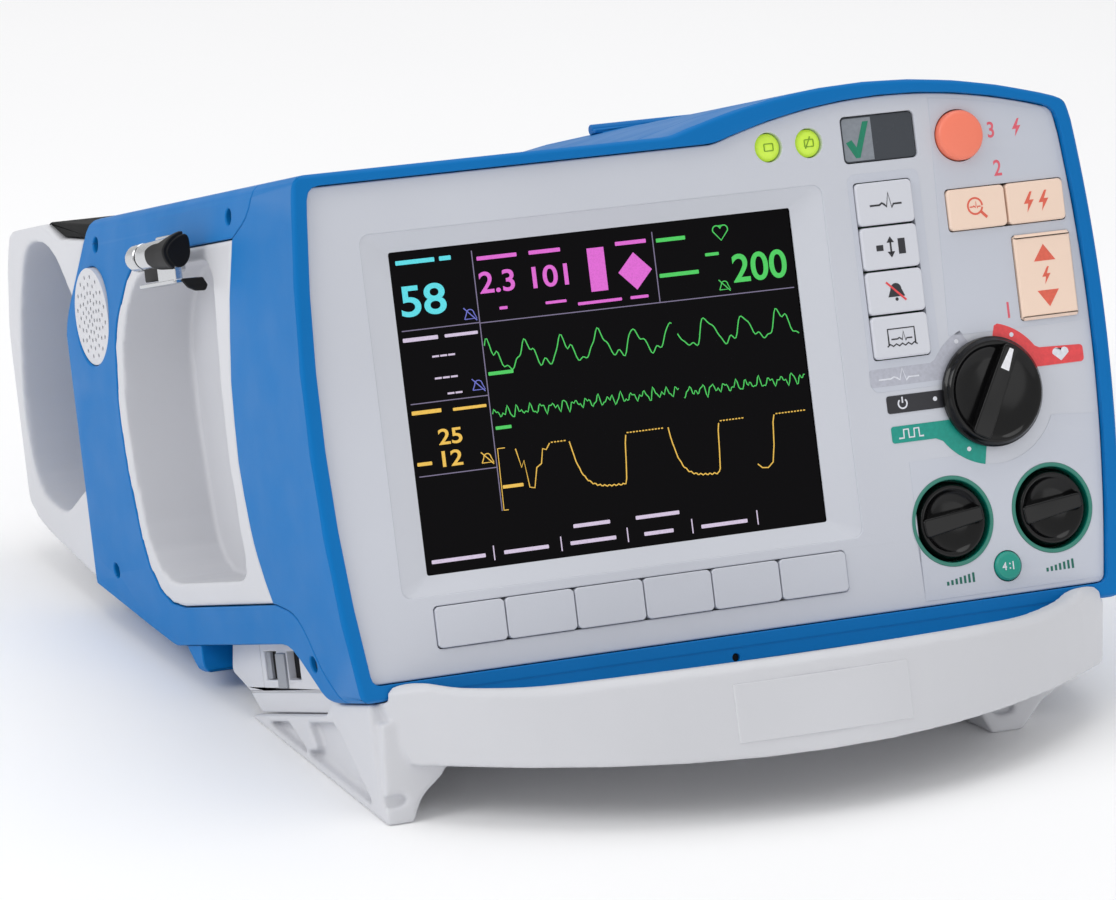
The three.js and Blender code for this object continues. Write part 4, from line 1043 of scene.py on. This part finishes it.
def build_readouts():
    for colour, bars in SCREEN_BARS.items():
        for left, right, base, height in bars:
            lit_shape(colour, rectangle(left, right, base + 0.2 * height, base + 0.8 * height, 0.25))
    for colour, text, left, base, height, stretch in SCREEN_READINGS:
        lit_digits(colour, text, left, base, height, stretch)
    for colour, x, z, size in SCREEN_BELLS:
        lit_bell(colour, x, z, size)
    lit_line("line", [(-73.7, 46.5), (-73.9, -32.2)], 0.3)
    lit_line("line", [(-13.9, 46), (-13.9, 24.6)], 0.3)
    lit_line("line", [(-73.7, 24.6), (31.6, 24.2)], 0.3)
    for level in (24.8, 2.8, -19.0):
        lit_line("line", [(-99.2, level), (-73.7, level)], 0.3)
    lit_shape("magenta", rectangle(-36.1, -30.5, 30.0, 43.2))
    lit_shape("magenta", [(-20.9, 29.1), (-15.3, 34.8), (-20.9, 40.5), (-26.5, 34.8)])
    lit_heart("green", 9.0, 43.6, 5.2)
    for left, level, count in ((-90.4, 16.0, 3), (-90.4, 9.4, 3), (-86.9, 4.5, 2)):
        for k in range(count):
            lit_shape("white", rectangle(left + 2.6 * k, left + 2.6 * k + 2.2, level, level + 0.55))
    lit_line("amber", [(-70.6, -13.5), (-73.0, -13.5), (-73.3, -32.1), (-71.8, -32.1)], 0.3)
    for x in (-78.2, -56.0, -33.9, -12.2, 9.9):
        lit_line("white", [(x, -42.2), (x, -46.6)], 0.34)


def build_traces():
    lit_line("green", wave(-73.2, -11.0, 120, lambda s: heart_trace(s * 0.6, 10.6)), 0.34)
    lit_line("green", wave(-9.4, 31.4, 80, lambda s: heart_trace(0.615 + s * 0.385, 10.6)), 0.34)
    lit_line("green", wave(-73.2, -11.2, 150, lambda s: filtered_trace(s * 0.6, -3.0)), 0.32)
    lit_line("green", wave(-9.6, 31.6, 100, lambda s: filtered_trace(0.61 + s * 0.39, -3.6)), 0.32)
    top = -13.8
    lit_line("amber", [(-67.2, -14.2), (-65.9, -20.0), (-64.9, -18.0), (-64.0, -26.2), (-62.4, -26.6),
                       (-61.0, -20.6), (-59.3, -19.6), (-58.4, -15.2), (-57.2, -15.6), (-55.9, top)], 0.34)
    for start, end, floor in ((-49.4, -30.6, -29.0), (-16.3, 0.7, -29.4)):
        trough = wave(start, end, 40, lambda s: breath(start + (end - start) * s, floor, top, start, end))
        lit_line("amber", trough, 0.34)
    lit_line("amber", [(12.2, -28.2), (13.6, -29.5), (15.6, -29.7), (17.4, -28.2), (18.4, -23.0),
                       (19.0, -16.0), (19.6, top)], 0.34)
    for start, end in ((-55.4, -49.8), (-30.2, -16.6), (1.2, 9.6), (20.2, 31.4)):
        count = int((end - start) / 1.05)
        for k in range(count):
            lit_shape("amber", rectangle(start + 1.05 * k, start + 1.05 * k + 0.62, top, top + 0.36))


def build_display():
    low, high = span("display_window")
    pane = rectangle(low.x, high.x, low.z, high.z, 2.0)
    Part().plate([pane], low.y, high.y, 0.2).done("display_glass_pane", GLASS, "housing", "display_window")
    build_readouts()
    build_traces()
    for colour, part in SCREEN_GROUPS.items():
        part.done("display_marks_" + colour, SCREEN_INK[colour], "housing", slot="display_glass", even=False)


# ---------------------------------------------------------------- housing, sides and rear
SCREWS = [(177.5, 65.7), (53.0, 66.0), (189.7, -39.8), (30.3, -71.3)]
SCREW_CROSS = [(-0.3, -1.3), (0.3, -1.3), (0.3, -0.3), (1.3, -0.3), (1.3, 0.3), (0.3, 0.3),
               (0.3, 1.3), (-0.3, 1.3), (-0.3, 0.3), (-1.3, 0.3), (-1.3, -0.3), (-0.3, -0.3)]
PLUG_X, PLUG_Z = -5.6, -85.6
SHELL = {"half": 135.3, "top": 74.2, "bottom": -83.7, "hump_x": 60, "hump_top": 84.6, "hump_radius": 212}
RIM_RADIUS = 1.9
SHELL_FRONT = -2.0


def side_at(z):
    return half_width(SHELL, z)


def rim_form():
    """The housing's front view drawn backwards, with a rounded front rim."""
    outline = front_view(SHELL)
    rings = []
    for k in range(7):
        turn = math.radians(15 * k)
        depth = SHELL_FRONT - 0.05 + RIM_RADIUS * (1 - math.cos(turn))
        rings.append([(x, depth, z) for x, z in inset(outline, RIM_RADIUS * (1 - math.sin(turn)) - 0.08)])
    rings.append([(x, 250, z) for x, z in inset(outline, -0.08)])
    return Part().loft(rings)


def build_housing():
    refine("front_housing", 0.3, form=rim_form())
    skirt = Part().plate([rectangle(-108, 108, -87, -82.2), circle(PLUG_X, PLUG_Z, 1.3, 24)], -1.7, 8, 0.2)
    skirt.done("front_housing_skirt", BLUE, "housing", slot="housing_blue")
    plug = Part().plate([circle(PLUG_X, PLUG_Z, 1.25, 24)], -0.6, 0.6, 0.1)
    plug.done("front_housing_plug", RUBBER, "housing", slot="rubber_black")
    holes = Part()
    for y, z in SCREWS:
        for side in (-1, 1):
            x = side * side_at(z)
            holes.plate([circle(y, z, 2.5, 32)], x - 4, x + 4, 0, "side")
    refine("rear_housing", 0.5, cutters=holes)
    screws = Part()
    for y, z in SCREWS:
        for side in (-1, 1):
            x = side * (side_at(z) - 2.2)
            cross = [(y + a, z + b) for a, b in SCREW_CROSS]
            screws.plate([circle(y, z, 2.2, 32), cross], x - 0.5, x + 0.5, 0.2, "side")
            screws.plate([circle(y, z, 2.2, 32)], x - side * 0.5 - 0.3, x - side * 0.5 + 0.3, 0.1, "side")
    screws.done("housing_screws", SCREW_STEEL, "housing", slot="module_steel")


SCREW_STEEL = brushed("screw_steel", srgb(92, 96, 104), 0.35)


def build_wells():
    for side in ("left", "right"):
        soften(f"{side}_paddle_well", 0.75, 6, 0.3)
        refine(f"{side}_contact_spring", 0.25)


def build_speaker():
    low, high = span("speaker_grille")
    centre = middle("speaker_grille")
    radius = (high.y - low.y) / 2
    holes = [circle(centre.y, centre.z, 0.75, 12)]
    for ring, count in enumerate((6, 11, 16, 16, 16), start=1):
        for k in range(count):
            turn = 2 * math.pi * (k + 0.5 * (ring % 2)) / count
            y = centre.y + 2.6 * ring * math.cos(turn)
            z = centre.z + 2.6 * ring * math.sin(turn)
            holes.append(circle(y, z, 0.68, 10))
    part = Part().plate([circle(centre.y, centre.z, radius, 72)] + holes, low.x, high.x, 0.12, "side", 1)
    part.done("speaker_grille_disc", WHITE, "housing", "speaker_grille")


def build_rear():
    soften("rear_handle", 0.9, 12, 0.25)
    refine("handle_grip", 0.8)
    # A black slab on the handle's side: painted shade standing in for a small dark hole.
    plug = Part().plate([rectangle(245.4, 248.8, 72.9, 74.6, 0.5)], -131.4, -128, 0.2, "side")
    plug.done("handle_side_hole_shade", RUBBER, "housing", slot="rubber_black")


BAR_BEND = 178.8


def bar_front(x):
    """Depth of the bumper bar's curved front at a place across it."""
    return span("front_bumper")[0].y + BAR_BEND - math.sqrt(BAR_BEND ** 2 - x ** 2)


def bumper_cutters():
    """A slope along the bar's top front edge, a pocket beside each runner and the leg recesses."""
    edge = [(-125, -79.2), (-111, -79.2), (-103, -82), (-84, -84.6), (84, -84.6), (103, -82), (111, -79.2),
            (125, -79.2)]
    stations = [(a[0] + (b[0] - a[0]) * k / 8, a[1] + (b[1] - a[1]) * k / 8)
                for a, b in zip(edge, edge[1:]) for k in range(8)] + edge[-1:]
    rings, cut = [], 3.4
    for x, top in stations:
        y = bar_front(x)
        rings.append([(x, y - 1, top - cut), (x, y + cut, top + 1), (x, y - 1, top + 1)])
    cutters = Part().loft(rings)
    pocket = [(89.1, -89.7), (69.9, -89.6), (56.2, -98.3), (49.9, -98.4), (48.2, -97.2), (53.3, -89.9),
              (31.6, -89.6), (5.5, -114.8)]
    cutters.plate([pocket], -130, -122.3, 0, "side")
    cutters.plate([pocket], 81, 90, 0, "side")
    for x, z in ((-122.6, -113.2), (81.6, -112.8)):
        recess = [(x + 3.9 * a, z + 1.9 * b) for a, b in circle(0, 0, 1, 24)]
        cutters.plate([recess], -8, -1.5)
    return cutters


def build_bumper():
    soften("front_bumper", 0.7, 8, 0.25, bumper_cutters())
    section = rectangle(-0.35, 0.5, -108.4, -90.8, 0.3)
    ends = [(-29, 0.3), (-28.7, 0.0)] + [(-28 + 2 * k, 0.0) for k in range(29)] + [(28.7, 0.0), (29, 0.3)]
    rings = [[(x, bar_front(x) + a, b) for a, b in inset(section, shrunk)] for x, shrunk in ends]
    Part().loft(rings).done("bumper_badge_plate", WHITE, "housing", slot="white_plastic")


def build_chassis():
    """Sockets and steps on the left side of the pale tray under the shells."""
    side = span("lower_chassis")[0].x
    lines = Part()
    lines.plate([rectangle(92.9, 93.4, -79.8, -64)], side - 1, side + 0.6, 0, "side")
    lines.plate([rectangle(42, 112, -80.8, -80.3)], side - 1, side + 0.5, 0, "side")
    refine("lower_chassis", 0.4, cutters=lines)
    tab = Part().plate([rectangle(70.9, 78.4, -79.5, -68.6, 0.6)], side - 0.8, side + 0.4, 0.25, "side")
    tab.plate([rectangle(86.2, 89.8, -76.7, -68.2, 0.4)], side + 0.6, side + 5.2, 0.2, "side")
    tab.done("chassis_latch_tab", TRAY, "housing", slot="tray_grey")
    dark = Part().plate([rectangle(79.7, 86.0, -76.7, -68.2, 0.4)], side + 1.4, side + 5.2, 0.2, "side")
    dark.plate([rectangle(60.3, 70.3, -76.6, -68.3, 0.4)], side + 2.4, side + 5.2, 0.2, "side")
    dark.done("chassis_socket_inserts", RUBBER, "housing", slot="rubber_black")


# ---------------------------------------------------------------- paddle latches
LATCH_AXIS = (141.5, 58.0)
LATCH_FRONT = 73.6
HOOD_RADIUS = 4.35


def latch_section(y, grow=0.0, start=0.0, end=360.0, count=40):
    """Points round the hood at a depth; towards its front end it grows taller and leans inwards."""
    ahead = max(0.0, min(1.0, (100 - y) / 28)) ** 1.5
    reach = HOOD_RADIUS + grow
    points = []
    for k in range(count + 1 if end - start < 360 else count):
        turn = math.radians(start + (end - start) * k / count)
        across, up = math.cos(turn), math.sin(turn)
        lean = 2.4 * ahead * max(0.0, up) ** 2
        taller = 1.2 * ahead * abs(up) * up
        points.append((LATCH_AXIS[0] + reach * across - lean, LATCH_AXIS[1] + reach * up + taller))
    return points


def mirrored_rings(rings, side):
    return [[(side * x, y, z) for x, y, z in ring] for ring in rings]


def latch_pad(side):
    """A thumb pad on the hood's outer side with a round rear end, wrapping over the front end."""
    rings = []
    count = 24
    for k in range(count + 1):
        y = LATCH_FRONT - 0.6 + 17.6 * k / count
        nose = max(0.0, (y - 83) / 7.8)
        spread = math.sqrt(max(0.03, 1 - nose ** 2))
        flare = 50 * max(0.0, (80.5 - y) / 7.5) ** 1.5
        low, high = -64 * spread, (36 + flare) * spread
        ends = 0.3 if k in (0, count) else 0.0
        outer = latch_section(y, 0.7 - ends, low, high, 14)
        inner = latch_section(y, -0.6, low + 1, high - 1, 14)[::-1]
        edge = latch_section(y, 0.3 - ends, low - 2.5, high + 2.5, 14)
        rings.append([(a, y, z) for a, z in [edge[0]] + outer + [edge[-1]] + inner])
    part = Part().loft(mirrored_rings(rings, side))
    front = latch_section(LATCH_FRONT, -0.4)
    caps = [[(a, LATCH_FRONT - 0.9, z) for a, z in inset(front, 0.4)],
            [(a, LATCH_FRONT - 0.6, z) for a, z in front], [(a, LATCH_FRONT + 0.4, z) for a, z in front]]
    return part.loft(mirrored_rings(caps, side))


def build_latch(name, side):
    """The moving half: a plated hood with a thumb pad, and a level tongue that ends in a lip."""
    rear = 102.2
    hood = []
    for k in range(21):
        y = LATCH_FRONT + (rear - LATCH_FRONT) * k / 20
        hood.append([(a, y, z) for a, z in latch_section(y, -0.4 if k in (0, 20) else 0.0)])
    part = Part().loft(mirrored_rings(hood, side))
    a, z = LATCH_AXIS
    low, high = sorted((side * (a - 0.9), side * (a + 1.5)))
    part.plate([rectangle(74, 90, 48.8, z - 3, 0.4)], low, high, 0.25, "side")
    near, far = sorted((side * 137.0, side * 145.2))
    part.plate([rectangle(near, far, 70, rear, 1.0)], 48.2, 49.4, 0.25, "top")
    lip = rounded([(143.2, 49.4, 0.5), (141.0, 46.4, 2), (138.6, 45.2, 1.5), (135.6, 45.0, 0.8),
                   (134.7, 46.6, 0.8), (136.0, 49.2, 0.8)])
    part.done(name + "_hood", CHROME, BODY_OF[name], name)
    tip = Part().plate([[(side * u, v) for u, v in lip]], 68.8, 70.6, 0.35)
    tip.done(name + "_lip", RUBBER, BODY_OF[name], slot=NODE_SLOTS[name])
    latch_pad(side).done(name + "_thumb_pad", LATCH_BLACK, BODY_OF[name], slot=NODE_SLOTS[name])
    # A black block in the gap behind the hood: it stands for the latch's spring and is also painted shade
    # that darkens that gap.
    block = Part().plate([rectangle(89.6, 101.9, 50, 55, 0.6)], low, high, 0.25, "side")
    block.done(name + "_spring_and_shade_block", LATCH_BLACK, BODY_OF[name], slot=NODE_SLOTS[name])


def build_latch_bracket(name, side):
    """The fixed half: a rounded rear knuckle, a slim plate on the shell and the pin."""
    a, z = LATCH_AXIS
    part = Part()
    rings = []
    for y, radius in ((103.0, 4.0), (103.3, 4.35), (109.6, 4.35), (111.6, 3.9), (112.6, 3.0), (113.0, 1.8)):
        rings.append([(side * u, y, v) for u, v in circle(a, z, radius, 40)])
    part.loft(rings)
    low, high = sorted((side * (side_at(z) - 1.5), side * (a - 1)))
    part.plate([rectangle(103.4, 110.6, z - 3.6, z + 3.6, 0.8)], low, high, 0.3, "side")
    low, high = sorted((side * (side_at(z) - 1.5), side * (side_at(z) + 1.9)))
    part.plate([rectangle(97, 113, z - 6, z + 6, 1.5)], low, high, 0.5, "side")
    part.loft([[(side * u, y, v) for u, v in circle(a, z, 2.0, 20)] for y in (102.4, 103.2)])
    part.done(name + "_knuckle", CHROME, "housing", name)


def build_latches():
    for word, side in (("left", -1), ("right", 1)):
        build_latch(f"{word}_latch", side)
        build_latch_bracket(f"{word}_latch_bracket", side)


# ---------------------------------------------------------------- assembly
build_panel()
build_films()
build_controls()
build_display()
build_mode_legend()
build_panel_numerals()
build_knob_scales()
build_key_marks()
build_status_window()
build_lamps()
build_housing()
build_wells()
build_speaker()
build_rear()
build_bumper()
build_chassis()
build_latches()
made = {node for obj in bpy.data.objects for node in obj.get("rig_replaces", [])}
for node in sorted(set(frame["nodes"]) - made):
    refine(node)


# ---------------------------------------------------------------- stage, light and camera
def build_stage():
    bm = bmesh.new()
    bmesh.ops.create_grid(bm, x_segments=8, y_segments=8, size=6.0)
    mesh = finished_mesh("floor", bm)
    floor = Shader("floor_white")
    tone = floor.mix(floor.noise(3.0), srgb(250, 250, 251), srgb(254, 254, 255))
    floor.link(tone, floor.surface.inputs["Base Color"])
    floor.set(Roughness=0.7)
    mesh.materials.append(floor.material)
    scene_object("floor", mesh)


def aim(obj, place, towards):
    """Puts a light or camera at a place, looking along a direction."""
    obj.location = place
    obj.rotation_mode = "QUATERNION"
    obj.rotation_quaternion = towards.to_track_quat("-Z", "Y")


def area_light(name, place, target, size, power):
    light = bpy.data.lights.new(name, "AREA")
    light.shape = "DISK"
    light.size = size
    light.energy = power
    aim(scene_object(name, light), place, Vector(target) - Vector(place))


def build_light():
    world = bpy.data.worlds.new("studio")
    world.use_nodes = True
    background = world.node_tree.nodes["Background"]
    background.inputs["Color"].default_value = (1.0, 1.0, 1.0, 1.0)
    background.inputs["Strength"].default_value = 0.69
    bpy.context.scene.world = world
    area_light("key_left", (-1.8, -0.2, 1.3), (0, 0, 0.1), 1.2, 13)
    area_light("overhead", (0.2, 0.3, 2.2), (0, 0, 0), 1.8, 13)
    area_light("low_fill", (0.5, -1.5, 0.22), (0, -0.1, 0.02), 0.9, 1.6)


CAMERA_AIM = PANEL @ Vector((-52.2, 7.03, -16.24))
CAMERA_AZIMUTH = math.radians(-24.379)
CAMERA_ELEVATION = math.radians(16.419)
CAMERA_DISTANCE = 1.816
CAMERA_LENS = 193.78


def build_camera():
    data = bpy.data.cameras.new("camera")
    data.lens = CAMERA_LENS
    data.clip_start, data.clip_end = 0.05, 30
    camera = scene_object("camera", data)
    back = Vector((
        math.sin(CAMERA_AZIMUTH) * math.cos(CAMERA_ELEVATION),
        -math.cos(CAMERA_AZIMUTH) * math.cos(CAMERA_ELEVATION),
        math.sin(CAMERA_ELEVATION)))
    aim(camera, CAMERA_AIM + back * CAMERA_DISTANCE, -back)
    bpy.context.scene.camera = camera


build_stage()
build_light()
build_camera()
bpy.context.scene.view_settings.view_transform = "Standard"
